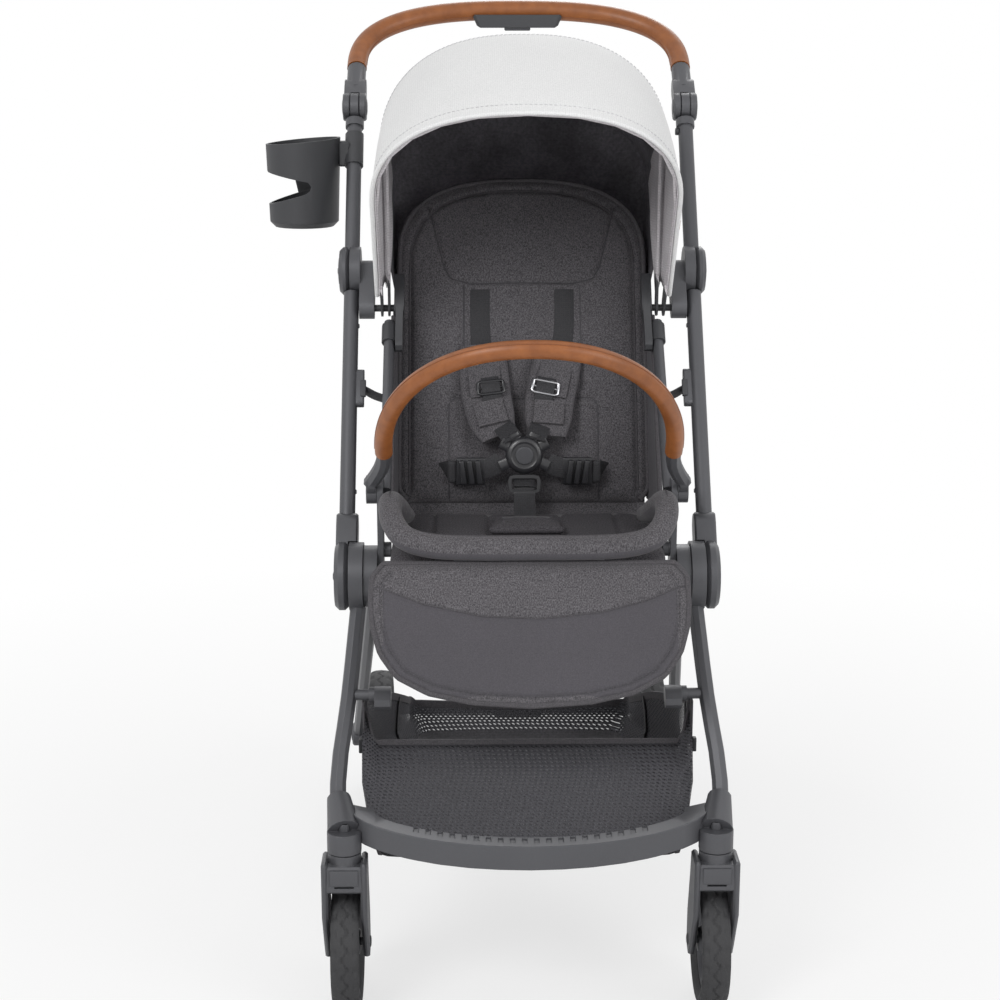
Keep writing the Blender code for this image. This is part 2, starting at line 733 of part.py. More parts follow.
def seat_side(side, sign):
    """The plate with the hub bolt and a boss for the seat, and the side tube up to the canopy's clip."""
    lower = side_plate(capsule(LOWER_HUB, BUMPER_PIVOT, 0.0135, 5), sided(SEAT_PLATE_X, sign))
    boss_x = (PAN_HALF + RUN_GAP, SEAT_PLATE_X[0] + 0.001)
    boss = cylinder_x(sided(boss_x, sign), (LOWER_HUB[0] - 0.001, LOWER_HUB[1] + 0.030), 0.0085)
    axis = Vector(CANOPY_AXIS)
    heading = unit(BUMPER_PIVOT, CANOPY_AXIS)
    top = axis - heading * 0.021
    start = Vector(BUMPER_PIVOT) + heading * 0.001
    pipe = rod((sign * SIDE_TUBE_X, *start), (sign * SIDE_TUBE_X, *top), SIDE_TUBE_R)
    pin = cylinder_x(sided((SEAT_PLATE_X[0] + 0.001, BUMPER_KNUCKLE_X[1] + 0.0005), sign), BUMPER_PIVOT, PIN_R)
    made = combine(lower, boss, pipe, pin, hub_bolt(sign))
    place_all(made, "seat_side_" + side, "push_frame", "satin")


def strap_buckle(sign):
    """The ladder buckle fixed inside the middle tube, for the strap that steadies the seat."""
    base = along(LOWER_HUB, FRAME_LEAN, 0.205)
    tip = along(LOWER_HUB, FRAME_LEAN, 0.240)
    face = FRAME_X - TUBE_R + 0.0020
    made = side_plate(capsule(base, tip, 0.0055, 5), sided((face - 0.0095, face), sign), 0.001)
    slots = []
    for distance in (0.213, 0.232):
        y, z = along(LOWER_HUB, FRAME_LEAN, distance)
        low, high = sided((face - 0.02, face - 0.0035), sign)
        slots.append(block((low, y - 0.003, z - 0.0022), (high, y + 0.003, z + 0.0022)))
    return cut(made, *slots)


def canopy_clip(sign):
    """The clip on the side tube, the pin that carries the bows, and the tab under the rear panel."""
    inner = CANOPY_HALF - CANOPY_PITCH * 2 - CANOPY_WALL - RUN_GAP
    axis = Vector(CANOPY_AXIS)
    heading = unit(CANOPY_AXIS, BUMPER_PIVOT)
    rear = (CANOPY_BACK_ANGLE + REAR_BOW_ANGLE) / 2
    tab_end = axis + Vector((math.cos(rear), math.sin(rear))) * 0.034
    low_face = SIDE_TUBE_X - SIDE_TUBE_R - RUN_GAP
    tab = side_plate(capsule(CANOPY_AXIS, tab_end, 0.0090, 4), sided((low_face - 0.010, inner), sign))
    plate_end = axis + heading * 0.052
    leaf = side_plate(capsule(CANOPY_AXIS, plate_end, 0.0085, 4), sided((low_face - 0.009, low_face - 0.0007), sign))
    sleeve_a = axis + heading * 0.026
    sleeve_b = axis + heading * 0.050
    sleeve = rod((sign * SIDE_TUBE_X, *sleeve_a), (sign * SIDE_TUBE_X, *sleeve_b), SIDE_TUBE_R + 0.0025)
    made = combine(leaf, tab, sleeve)
    room_a = axis + heading * 0.012
    room_b = axis + heading * 0.070
    room = rod((sign * SIDE_TUBE_X, *room_a), (sign * SIDE_TUBE_X, *room_b), SIDE_TUBE_R + RUN_GAP)
    made = cut(made, room)
    pin = cylinder_x(sided((low_face - 0.006, CANOPY_HALF + 0.0128), sign), CANOPY_AXIS, PIN_R)
    return combine(made, pin)


# Rear frame: splayed legs, wheels, axle, cross tube and brake pedal

def rear_leg_x(distance):
    """The rear legs leave the hub straight, then spread towards the wheels."""
    share = max(0.0, (distance - REAR_BEND) / (REAR_LEG_LENGTH - REAR_BEND))
    return REAR_LEG_HUB_X + (REAR_LEG_FOOT_X - REAR_LEG_HUB_X) * share


def rear_point(distance, sign):
    return (sign * rear_leg_x(distance), *along(LOWER_HUB, REAR_DIRECTION, distance))


def rear_leg(side, sign):
    pipe = tube([rear_point(d, sign) for d in (0.026, REAR_BEND, REAR_LEG_LENGTH)], REAR_TUBE_R, 2, False)
    disc = cylinder_x(sided(REAR_LAYER_X, sign), LOWER_HUB, LOWER_HUB_R - 0.0035)
    boot_x = (REAR_WHEEL_X + REAR_WHEEL_W / 2 + 0.0012, REAR_LEG_FOOT_X + BOOT_REACH)
    boot = cylinder_x(sided(boot_x, sign), REAR_AXLE, 0.0155, 0.002)
    made = combine(disc, pipe, boot)
    bolt_bore = cylinder_x(sided((REAR_LAYER_X[0] - 0.01, REAR_LAYER_X[1] + 0.01), sign), LOWER_HUB,
                           HUB_BOLT_R + RUN_GAP)
    axle_bore = cylinder_x(sided((boot_x[0] - 0.01, boot_x[1] - 0.002), sign), REAR_AXLE, AXLE_R + RUN_GAP)
    place_all(cut(made, bolt_bore, axle_bore), "rear_leg_" + side, "rear_frame", "satin")


def rear_frame():
    for side, sign in SIDES:
        rear_leg(side, sign)
        wheel((sign * REAR_WHEEL_X, *REAR_AXLE), REAR_WHEEL_R, REAR_WHEEL_W, sign, "rear_wheel_" + side, "rear")
    reach = REAR_LEG_FOOT_X + 0.0055
    place_all(cylinder_x((-reach, reach), REAR_AXLE, AXLE_R), "rear_axle", "rear_frame", "steel")
    reach = rear_leg_x(CROSS_TUBE_AT) - 0.003
    across = cylinder_x((-reach, reach), CROSS_TUBE, CROSS_TUBE_R)
    for side, sign in SIDES:
        ends = (rear_point(CROSS_TUBE_AT - 0.04, sign), rear_point(CROSS_TUBE_AT + 0.04, sign))
        across = cut(across, rod(*ends, REAR_TUBE_R + RUN_GAP))
    place_all(across, "rear_cross_tube", "rear_frame", "satin")
    brake_pedal()


def brake_pedal():
    """A foot lever that wraps the cross tube and sticks out behind it."""
    y, z = CROSS_TUBE
    barrel = cylinder_x((-0.030, 0.030), CROSS_TUBE, CROSS_TUBE_R + 0.004, 0.001)
    tread = block((-0.0295, y + 0.004, z - 0.0045), (0.0295, y + 0.052, z + 0.0045), 0.003)
    bore = cylinder_x((-0.05, 0.05), CROSS_TUBE, CROSS_TUBE_R + RUN_GAP)
    place_all(cut(combine(barrel, tread), bore), "brake_lever", "brake_pedal", "plastic")


# Handle frame: top tubes with their hub caps and hinge tongues, the lock button and the cup holder

def handle_frame():
    for side, sign in SIDES:
        start = along(UPPER_HUB, FRAME_LEAN, UPPER_HUB_R - 0.010)
        end = along(KNUCKLE, FRAME_LEAN, -KNUCKLE_R - 0.003)
        pipe = rod((sign * FRAME_X, *start), (sign * FRAME_X, *end), TUBE_R)
        beyond = cylinder_x(sided((FRAME_X - 0.02, DRUM_OUTER_X[0]), sign), UPPER_HUB, UPPER_HUB_R + 0.0006)
        pipe = cut(pipe, beyond)
        if sign > 0:
            face = FRAME_X - TUBE_R
            pipe = cut(pipe, cylinder_x((face - 0.01, face + 0.0036), LOCK_PLACE, LOCK_R + RUN_GAP))
        drum = cylinder_x(sided(DRUM_OUTER_X, sign), UPPER_HUB, UPPER_HUB_R, 0.004)
        place_all(combine(drum, pipe, tongue(sign)), "top_tube_" + side, "handle_frame", "satin")
    lock_button()
    cup_holder()


def tongue(sign):
    """The middle leaf of the handle's hinge, drawn down over the top tube."""
    disc = cylinder_x(sided(TONGUE_X, sign), KNUCKLE, KNUCKLE_R)
    low = along(KNUCKLE, FRAME_LEAN, -KNUCKLE_R - 0.012)
    high = along(KNUCKLE, FRAME_LEAN, -KNUCKLE_R + 0.006)
    neck_low = along(KNUCKLE, FRAME_LEAN, -KNUCKLE_R - 0.002)
    sleeve = rod((sign * FRAME_X, *low), (sign * FRAME_X, *neck_low), TUBE_R + 0.0022)
    neck_start = along(KNUCKLE, FRAME_LEAN, -KNUCKLE_R - 0.008)
    neck = rod((sign * FRAME_X, *neck_start), (sign * FRAME_X, *high), 0.0047)
    bore = cylinder_x(sided((TONGUE_X[0] - 0.01, TONGUE_X[1] + 0.01), sign), KNUCKLE, PIN_R + RUN_GAP)
    return cut(combine(disc, neck, sleeve), bore)


def lock_button():
    """A small push button on the inner side of the right sleeve."""
    face = FRAME_X - TUBE_R
    made = cylinder_x((face - 0.0035, face + 0.0010), LOCK_PLACE, LOCK_R, 0.0006)
    place_all(made, "side_lock_button", "lock_button", "plastic")


def cup_holder():
    """A cup with an open C in its wall, and the clip that holds it on the top tube."""
    y, z = CUP_PLACE
    floor_z = z - CUP_DROP
    top_z = floor_z + CUP_HEIGHT
    lower_r = CUP_R - 0.0035
    profile = [
        (0.0, floor_z), (lower_r - 0.006, floor_z), (lower_r, floor_z + 0.006), (CUP_R, top_z),
        (CUP_R - CUP_WALL, top_z), (lower_r - CUP_WALL, floor_z + 0.0075),
        (lower_r - 0.0075, floor_z + CUP_WALL), (0.0, floor_z + CUP_WALL),
    ]
    cup = turned_z(profile, (CUP_X, y), 20)
    slope = block((CUP_X - 0.07, y - 0.07, top_z - 0.0005), (CUP_X + 0.07, y + 0.07, top_z + 0.03))
    hinge = Vector((CUP_X + CUP_R, y, top_z))
    tilt = Matrix.Translation(hinge) @ Matrix.Rotation(math.radians(-5), 4, "Y") @ Matrix.Translation(-hinge)
    cup = cut(cup, cup_window(y, floor_z), moved(slope, tilt))
    arm_low = (CUP_X + CUP_R - 0.0022, y - 0.011, top_z - 0.034)
    arm = block(arm_low, (-FRAME_X - TUBE_R + 0.004, y + 0.011, top_z - 0.005), 0.002)
    low = along(UPPER_HUB, FRAME_LEAN, CUP_AT - 0.022)
    high = along(UPPER_HUB, FRAME_LEAN, CUP_AT + 0.020)
    sleeve = rod((-FRAME_X, *low), (-FRAME_X, *high), TUBE_R + 0.0022)
    made = combine(cup, arm, sleeve)
    far_low = along(UPPER_HUB, FRAME_LEAN, CUP_AT - 0.06)
    far_high = along(UPPER_HUB, FRAME_LEAN, CUP_AT + 0.06)
    room = rod((-FRAME_X, *far_low), (-FRAME_X, *far_high), TUBE_R + RUN_GAP)
    place_all(cut(made, room), "cup_holder", "handle_frame", "plastic")


def turned_z(profile, centre, steps):
    """A closed half profile of (radius, z) turned about a vertical axis."""
    bm = bmesh.new()
    rows = []
    poles = {}
    for i in range(steps):
        angle = 2 * math.pi * i / steps
        row = []
        for k, (r, z) in enumerate(profile):
            if r == 0 and k in poles:
                row.append(poles[k])
                continue
            vert = bm.verts.new((centre[0] + r * math.cos(angle), centre[1] + r * math.sin(angle), z))
            if r == 0:
                poles[k] = vert
            row.append(vert)
        rows.append(row)
    for i in range(steps):
        a, b = rows[i], rows[(i + 1) % steps]
        for k in range(len(profile) - 1):
            corners = []
            for vert in (a[k], a[k + 1], b[k + 1], b[k]):
                if vert not in corners:
                    corners.append(vert)
            bm.faces.new(corners)
    return mesh_object(bm)


def cup_window(y, floor_z):
    """The C shaped opening in the cup's outer half, narrow at its closed end."""
    notch_x = CUP_X + 0.004
    rim_x = CUP_X - CUP_R
    outline = [
        (rim_x - 0.02, floor_z + 0.024), (rim_x, floor_z + 0.026), (notch_x, floor_z + 0.040),
        (notch_x + 0.006, floor_z + 0.044), (notch_x + 0.0075, floor_z + 0.049), (notch_x + 0.004, floor_z + 0.054),
        (notch_x - 0.004, floor_z + 0.0555), (rim_x + 0.004, floor_z + 0.064),
        (rim_x - 0.004, floor_z + 0.067), (rim_x - 0.02, floor_z + 0.068),
    ]
    cutter = plate(outline, 0.14)
    stand = Matrix(((1, 0, 0, 0), (0, 0, -1, y - 0.030), (0, 1, 0, 0), (0, 0, 0, 1)))
    return moved(cutter, stand)


# Handle bar: knuckle yokes, leather grip on an arch, and the fold release under its middle

def handle_bar():
    for side, sign in SIDES:
        place_all(yoke(sign), "handle_yoke_" + side, "handle_bar", "satin")
    place_all(grip_shape(GRIP_R), "handle_grip", "handle_bar", "leather")
    release_housing()


def grip_shape(radius):
    points = []
    for x, s in arch(FRAME_X, HANDLE_REACH - GRIP_START, HANDLE_POWER, 18, GRIP_START):
        points.append(in_plane(x, s, KNUCKLE, HANDLE_LEAN))
    return tube(points, radius, 2, False)


def yoke(sign):
    """Two side caps joined by a pin, and the sleeve that rises from them to the grip."""
    low_gap = TONGUE_X[0] - RUN_GAP
    high_gap = TONGUE_X[1] + RUN_GAP
    near = along(KNUCKLE, HANDLE_LEAN, 0.010)
    far = along(KNUCKLE, HANDLE_LEAN, 0.034)
    web = side_plate(capsule(near, far, 0.0105, 4), sided((KNUCKLE_X[0] + 0.001, KNUCKLE_X[1] - 0.001), sign))
    start = along(KNUCKLE, HANDLE_LEAN, 0.028)
    end = along(KNUCKLE, HANDLE_LEAN, GRIP_START - 0.0013)
    sleeve = rod((sign * FRAME_X, *start), (sign * FRAME_X, *end), SLEEVE_R)
    made = combine(web, sleeve)
    made = cut(made, cylinder_x(sided((KNUCKLE_X[0] - 0.01, KNUCKLE_X[1] + 0.01), sign), KNUCKLE, KNUCKLE_R - 0.002))
    caps = [cylinder_x(sided(x_range, sign), KNUCKLE, KNUCKLE_R, 0.0015)
            for x_range in ((KNUCKLE_X[0], low_gap), (high_gap, KNUCKLE_X[1]))]
    made = combine(made, *caps)
    made = cut(made, cylinder_x(sided((low_gap, high_gap), sign), KNUCKLE, KNUCKLE_R + 0.0012))
    pin = cylinder_x(sided((low_gap - 0.001, high_gap + 0.001), sign), KNUCKLE, PIN_R)
    return combine(made, pin)


def release_housing():
    """The tapered housing under the grip's middle, with the sliding release in its belly."""
    made = plate([(-0.056, 0.0), (0.056, 0.0), (0.049, -0.016), (-0.049, -0.016)], 0.024, 0.003)
    y, z = along(KNUCKLE, HANDLE_LEAN, HANDLE_REACH - 0.0085)
    made = moved(made, Matrix(((1, 0, 0, 0), (0, 0, -1, y), (0, 1, 0, z), (0, 0, 0, 1))))
    slot = block((-0.0165, y - 0.0075, z - 0.020), (0.0165, y + 0.0075, z - 0.010))
    made = cut(made, grip_shape(GRIP_R + RUN_GAP), slot)
    place_all(made, "release_housing", "handle_bar", "plastic")
    key = block((-0.0160, y - 0.0070, z - 0.0195), (0.0160, y + 0.0070, z - 0.0125), 0.0012)
    place_all(key, "fold_release_key", "fold_button", "satin")


# Bumper bar: leather arch on two grey arms, hinged on the seat plates

def bumper_point(x, distance):
    y = BUMPER_PIVOT[0] - distance * math.cos(BUMPER_RISE)
    z = BUMPER_PIVOT[1] + distance * math.sin(BUMPER_RISE)
    return (x, y, z)


def bumper():
    points = []
    for x, s in arch(BUMPER_HALF, BUMPER_REACH - BUMPER_GRIP_START, BUMPER_POWER, 18, BUMPER_GRIP_START):
        points.append(bumper_point(x, s))
    place_all(tube(points, BUMPER_R, 2, False), "bumper_grip", "bumper", "leather")
    for side, sign in SIDES:
        place_all(bumper_arm(sign), "bumper_arm_" + side, "bumper", "satin")


def bumper_arm(sign):
    """The eye on the pivot pin and the sleeve that curves inwards to the grip."""
    eye = cylinder_x(sided(BUMPER_KNUCKLE_X, sign), BUMPER_PIVOT, BUMPER_KNUCKLE_R)
    middle = sum(BUMPER_KNUCKLE_X) / 2
    path = [bumper_point(sign * (middle + 0.0005), 0.0175), bumper_point(sign * (BUMPER_HALF + 0.0085), 0.036),
            bumper_point(sign * (BUMPER_HALF + 0.0015), 0.060), bumper_point(sign * BUMPER_HALF, BUMPER_GRIP_START - 0.0004)]
    arm = tube(path, BUMPER_ARM_R, 2, True, 2)
    neck = side_plate(capsule(bumper_point(0, 0.004)[1:], bumper_point(0, 0.020)[1:], BUMPER_ARM_R, 3),
                      sided((BUMPER_KNUCKLE_X[0] + 0.001, BUMPER_KNUCKLE_X[1] - 0.001), sign))
    made = combine(eye, neck, arm)
    plate_room = cylinder_x(sided((BUMPER_KNUCKLE_X[0] - 0.02, BUMPER_KNUCKLE_X[0]), sign), BUMPER_PIVOT, 0.0205)
    bore = cylinder_x(sided((BUMPER_KNUCKLE_X[0] - 0.01, BUMPER_KNUCKLE_X[1] + 0.01), sign), BUMPER_PIVOT,
                      PIN_R + RUN_GAP)
    return cut(made, plate_room, bore)


# Canopy: panels and bows turned about the same axis, each nested inside the last

def canopy_profile(inset, low_r):
    """(x offset, radius) from one low edge over the crown to the other."""
    half = CANOPY_HALF - inset
    crown = CANOPY_CROWN - inset
    points = [(-half, low_r), (-half, (low_r + CANOPY_FLAT) / 2)]
    for x, r in arch(half, crown, CANOPY_POWER, 12, CANOPY_FLAT):
        points.append((x, r))
    points += [(half, (low_r + CANOPY_FLAT) / 2), (half, low_r)]
    return points


def canopy_shell(inset, start, end, steps, low_r=CANOPY_LOW_R, wall=CANOPY_WALL):
    """A closed sheet of the canopy between two angles from +Y, measured in the side view."""
    outer = canopy_profile(inset, low_r)
    inner = canopy_profile(inset + wall, low_r)
    profile = outer + list(reversed(inner))
    centre = (0, *CANOPY_AXIS)
    shell = turned_x(profile, centre, True, steps, start, end - start)
    bm = bmesh.new()
    bm.from_mesh(shell.data)
    bpy.data.objects.remove(shell, do_unlink=True)
    count = len(profile)
    bm.verts.ensure_lookup_table()
    half_count = len(outer)
    for first in (0, steps * count):
        for k in range(half_count - 1):
            quad = [bm.verts[first + i] for i in (k, k + 1, count - 2 - k, count - 1 - k)]
            bm.faces.new(quad)
    return mesh_object(bm)


def canopy_bow(inset, middle, half_angle=BOW_WIDTH / 2):
    """A flat hoop inside a panel, ending in an eye round the canopy's pin on each side."""
    shell = canopy_shell(inset, middle - half_angle, middle + half_angle, 1, 0.016, BOW_WALL)
    tip = Vector(CANOPY_AXIS) + Vector((math.cos(middle), math.sin(middle))) * 0.030
    for side, sign in SIDES:
        x_range = sided((CANOPY_HALF - inset - BOW_WALL, CANOPY_HALF - inset), sign)
        eye = side_plate(capsule(CANOPY_AXIS, tip, EYE_R, 4), x_range)
        reach = sided((CANOPY_HALF - inset - 0.015, CANOPY_HALF - inset + 0.010), sign)
        bore = cylinder_x(reach, CANOPY_AXIS, PIN_R + RUN_GAP)
        shell = combine(shell, cut(eye, bore))
    return shell


def canopy():
    half_bow = BOW_WIDTH / 2
    place_all(canopy_shell(0, MID_BOW_ANGLE, RIM_ANGLE, 4), "canopy_front_panel", "canopy_front", "knit")
    place_all(canopy_bow(BOW_INSET, RIM_ANGLE - half_bow), "canopy_front_bow", "canopy_front", "plastic")
    inset = CANOPY_PITCH
    place_all(canopy_shell(inset, REAR_BOW_ANGLE, MID_BOW_ANGLE, 3), "canopy_middle_panel", "canopy_middle", "knit")
    place_all(canopy_bow(inset + BOW_INSET, MID_BOW_ANGLE - half_bow), "canopy_middle_bow", "canopy_middle", "plastic")
    inset = CANOPY_PITCH * 2
    place_all(canopy_shell(inset, CANOPY_BACK_ANGLE, REAR_BOW_ANGLE, 2), "canopy_rear_panel", "push_frame", "knit")


# Seat: pan, rim roll, hinge rods, back pad with its tube, harness, buckle and leg rest

def rounded_box(half, low_y, high_y, corner, count=5):
    """A plan outline with round corners, symmetric about x = 0."""
    points = []
    for cx, cy, base in ((half - corner, low_y + corner, -90), (half - corner, high_y - corner, 0),
                         (-half + corner, high_y - corner, 90), (-half + corner, low_y + corner, 180)):
        for i in range(count + 1):
            angle = math.radians(base + 90 * i / count)
            points.append((cx + corner * math.cos(angle), cy + corner * math.sin(angle)))
    return points


def seat():
    middle = sum(PAN_Z) / 2
    pan = plate(rounded_box(PAN_HALF, PAN_FRONT_Y, PAN_REAR_Y, 0.028), PAN_Z[1] - PAN_Z[0], 0.006, 2)
    pan = moved(pan, Matrix.Translation((0, 0, middle)))
    channels = []
    for x in [sign * place for place in CHANNEL_X for sign in (-1, 1)]:
        low = (x - CHANNEL_WIDTH / 2, PAN_FRONT_Y - 0.01, PAN_Z[1] - CHANNEL_DEPTH)
        high = (x + CHANNEL_WIDTH / 2, PAN_REAR_Y + 0.01, PAN_Z[1] + 0.01)
        channels.append(block(low, high))
    place_all(cut(pan, *channels), "seat_pan", "push_frame", "heather")
    seat_rim()
    seat_hinges()
    back_rest()
    harness()
    buckle()
    leg_rest()


def seat_rim():
    """The padded roll round the front and the sides of the seat, higher at its wings."""
    z = PAN_Z[1] + RIM_R + 0.0005
    side_path = [(0.100, PAN_FRONT_Y - 0.016, z + 0.002), (0.138, PAN_FRONT_Y - 0.004, z + 0.012),
                 (0.1450, PAN_FRONT_Y + 0.028, z + 0.024), (0.1385, PAN_FRONT_Y + 0.070, z + 0.014),
                 (0.1300, PAN_FRONT_Y + 0.125, z)]
    path = [(-x, y, height) for x, y, height in reversed(side_path)]
    path += [(0, PAN_FRONT_Y - 0.018, z)] + side_path
    place_all(tube(path, RIM_R, 2, True, 2), "seat_rim", "push_frame", "heather")


def seat_hinges():
    """The two rods that the leg rest and the back turn on, each with lugs to the pan."""
    for name, (y, z), edge_y, reach in (("leg_rest_hinge", LEG_REST_AXIS, PAN_FRONT_Y, 0.132),
                                        ("seat_back_hinge", BACK_HINGE, PAN_REAR_Y, 0.128)):
        pieces = [cylinder_x((-reach, reach), (y, z), HINGE_ROD_R)]
        toward = RUN_GAP if edge_y > y else -RUN_GAP
        for x in (-0.070, 0.070):
            low, high = sorted((y, edge_y - toward))
            pieces.append(block((x - 0.009, low, z - 0.0060), (x + 0.009, high, z + 0.0060), 0.001))
        place_all(combine(*pieces), name, "push_frame", "steel")


def back_place(x, up, out):
    """A point on the back rest: up along it from its foot and out from its middle plane, forwards."""
    y, z = along(BACK_FOOT, BACK_LEAN, up)
    return (x, y - out * math.cos(BACK_LEAN), z + out * math.sin(BACK_LEAN))


BACK_FRAME = Matrix((
    (1, 0, 0, 0),
    (0, math.sin(BACK_LEAN), -math.cos(BACK_LEAN), BACK_FOOT[0]),
    (0, math.cos(BACK_LEAN), math.sin(BACK_LEAN), BACK_FOOT[1]),
    (0, 0, 0, 1),
))


def back_outline(inset=0.0):
    """The pad seen square on: straight sides, and a top drawn in to a flat arch."""
    half = BACK_HALF - inset
    points = [(half - 0.010, inset), (half, 0.012 + inset)]
    for x, up in arch(half, BACK_LENGTH - BACK_SHOULDER - inset, 2.6, 18, BACK_SHOULDER):
        points.append((-x, up))
    points += [(-half, 0.012 + inset), (-half + 0.010, inset)]
    return points


def back_rest():
    pad = moved(plate(back_outline(), BACK_THICK, 0.008, 2), BACK_FRAME)
    recess = [(0.064, 0.02), (0.064, 0.26), (0.056, 0.272), (-0.056, 0.272), (-0.064, 0.26), (-0.064, 0.02)]
    panel = moved(plate(recess, 0.006), BACK_FRAME @ Matrix.Translation((0, 0, BACK_THICK / 2)))
    place_all(cut(pad, panel), "seat_back_pad", "seat_back", "heather")
    out = -BACK_THICK / 2 - BACK_TUBE_R - 0.0012
    foot = (BACK_HINGE[0], BACK_HINGE[1])
    path = []
    for sign in (-1, 1):
        hinge_end = (sign * 0.118, foot[0] + 0.0070, foot[1] + 0.0040)
        side_points = [hinge_end, back_place(sign * 0.118, 0.004, out), back_place(sign * 0.118, 0.300, out),
                       back_place(sign * 0.100, 0.345, out)]
        path += side_points if sign < 0 else list(reversed(side_points))
    hoop = tube(path, BACK_TUBE_R, 2, False)
    made = hoop
    for side, sign in SIDES:
        made = combine(made, cylinder_x(sided((0.108, 0.127), sign), BACK_HINGE, 0.0105))
    for side, sign in SIDES:
        bore = cylinder_x(sided((0.09, 0.14), sign), BACK_HINGE, HINGE_ROD_R + RUN_GAP)
        made = cut(made, bore)
    place_all(made, "seat_back_tube", "seat_back", "satin")


def harness():
    """Two shoulder straps with padded covers, lying on the back pad and drawn in to the buckle."""
    floor = BACK_THICK / 2 - 0.003 + RUN_GAP
    for side, sign in SIDES:
        upper = [(sign * x, up) for x, up in ((0.030, 0.10), (0.052, 0.10), (0.047, 0.265), (0.027, 0.265))]
        strap = moved(plate(upper, 0.0030), BACK_FRAME @ Matrix.Translation((0, 0, floor + 0.0015)))
        cover_outline = [(sign * x, up) for x, up in
                         ((0.014, 0.066), (0.044, 0.060), (0.060, 0.120), (0.058, 0.190), (0.050, 0.200),
                          (0.030, 0.200), (0.024, 0.190), (0.026, 0.125))]
        cover = moved(plate(cover_outline, 0.011, 0.003), BACK_FRAME @ Matrix.Translation((0, 0, floor + 0.0055)))
        place_all(combine(cover, strap), "shoulder_strap_" + side, "seat_back", "webbing")


def buckle():
    """Round release buckle on the crotch strap, with its wings and the pad at its foot."""
    y, z = BUCKLE_PLACE
    ground = PAN_Z[1] + 0.0003
    turns = [2 * math.pi * i / 20 for i in range(20)]
    disc = plate([(0.0185 * math.cos(a), 0.0185 * math.sin(a)) for a in turns], 0.012, 0.002)
    wings = plate([(-0.029, 0.010), (-0.018, 0.020), (0.018, 0.020), (0.029, 0.010), (0.024, -0.016),
                   (0.012, -0.021), (-0.012, -0.021), (-0.024, -0.016)], 0.009, 0.002)
    made = combine(wings, disc)
    facing = Matrix.Translation((0, y, z)) @ Matrix.Rotation(math.radians(90 + 8), 4, "X")
    made = moved(made, facing)
    strap_low = (0.176, ground + 0.0022)
    strap_high = (y, z - 0.016)
    strap = block((-0.0125, -0.0020, 0), (0.0125, 0.0020, math.dist(strap_low, strap_high)), 0.0006)
    lean = math.atan2(strap_high[0] - strap_low[0], strap_high[1] - strap_low[1])
    strap = moved(strap, Matrix.Translation((0, *strap_low)) @ Matrix.Rotation(-lean, 4, "X"))
    foot_pad = block((-0.036, 0.148, ground), (0.036, 0.186, ground + 0.010), 0.004)
    made = combine(made, strap, foot_pad)
    well = cylinder_y((y - 0.0150, y + 0.0002), (0, z + 0.0008), BUTTON_R + RUN_GAP)
    place_all(cut(made, well), "buckle_body", "push_frame", "plastic")
    place_all(cylinder_y((y - 0.0078, y - 0.0029), (0, z + 0.0008), BUTTON_R, 0.0008), "buckle_release", "buckle_button",
              "satin")


def cylinder_y(y_range, centre, radius, edge=0.0):
    """A round button whose axis is along Y, centred at (x, z)."""
    made = cylinder_x(y_range, (0, 0), radius, edge)
    return moved(made, Matrix.Translation((centre[0], 0, centre[1])) @ Matrix.Rotation(math.pi / 2, 4, "Z"))


def leg_rest():
    """A padded flap that hangs from the front hinge rod, narrower and rounder at its foot."""
    half, length = LEG_REST_HALF, LEG_REST_LENGTH
    right = [(0.148, 0.007), (half, -0.007), (half, -0.060), (0.154, -0.092), (0.136, -0.118), (0.104, -0.136),
             (0.060, -0.146), (0, -length)]
    outline = right + [(-x, d) for x, d in reversed(right[:-1])]
    made = plate(outline, LEG_REST_THICK, 0.005, 2)
    hang = Matrix.Translation((0, *LEG_REST_AXIS)) @ Matrix.Rotation(math.pi / 2 - LEG_REST_HANG, 4, "X")
    made = moved(made, hang)
    y, z = LEG_REST_AXIS
    lug_rooms = [block((x - 0.0115, y - 0.014, z - 0.020), (x + 0.0115, y + 0.03, z + 0.015)) for x in (-0.070, 0.070)]
    made = cut(made, *lug_rooms, cylinder_x((-0.1330, 0.1330), LEG_REST_AXIS, HINGE_ROD_R + RUN_GAP))
    place_all(made, "leg_rest", "leg_rest", "heather")


# Basket: a tub of mesh cloth, open above, hung between the legs

def basket():
    hung_y = BRACKET_PLACE[0]
    hung_z = BRACKET_PLACE[1] - STUB_R - RUN_GAP + BASKET_EDGE - BASKET_WALL
    outer = [(0.078, 0.264), (0.006, 0.199), (0.012, 0.180), (0.050, 0.158), (0.120, 0.147), (0.250, 0.145),
             (0.380, 0.155), (0.425, 0.172), (0.432, 0.225), (0.300, 0.255), (0.150, 0.290),
             (hung_y + 0.012, hung_z), (hung_y - 0.006, hung_z)]
    tub = side_plate(outer, (-BASKET_HALF, BASKET_HALF), BASKET_EDGE)
    w = BASKET_WALL
    inner = [(0.0815, 0.264), (0.0112, 0.2005), (0.0155, 0.1825), (0.0515, 0.158 + w), (0.120, 0.147 + w),
             (0.250, 0.145 + w), (0.379, 0.155 + w), (0.4215, 0.1745), (0.4288, 0.2215), (0.4287, 0.232),
             (0.460, 0.240), (0.460, 0.34), (0.02, 0.34), (0.035, 0.264)]
    hollow = side_plate(inner, (-BASKET_HALF + w, BASKET_HALF - w), 0.0)
    place_all(cut(tub, hollow), "basket", "front_frame", "mesh")


make_bodies()
front_wheels()
front_frame()
push_frame()
rear_frame()
handle_frame()
handle_bar()
bumper()
canopy()
seat()
basket()
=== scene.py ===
"""Looks of the compact stroller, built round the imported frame."""

import json
import math

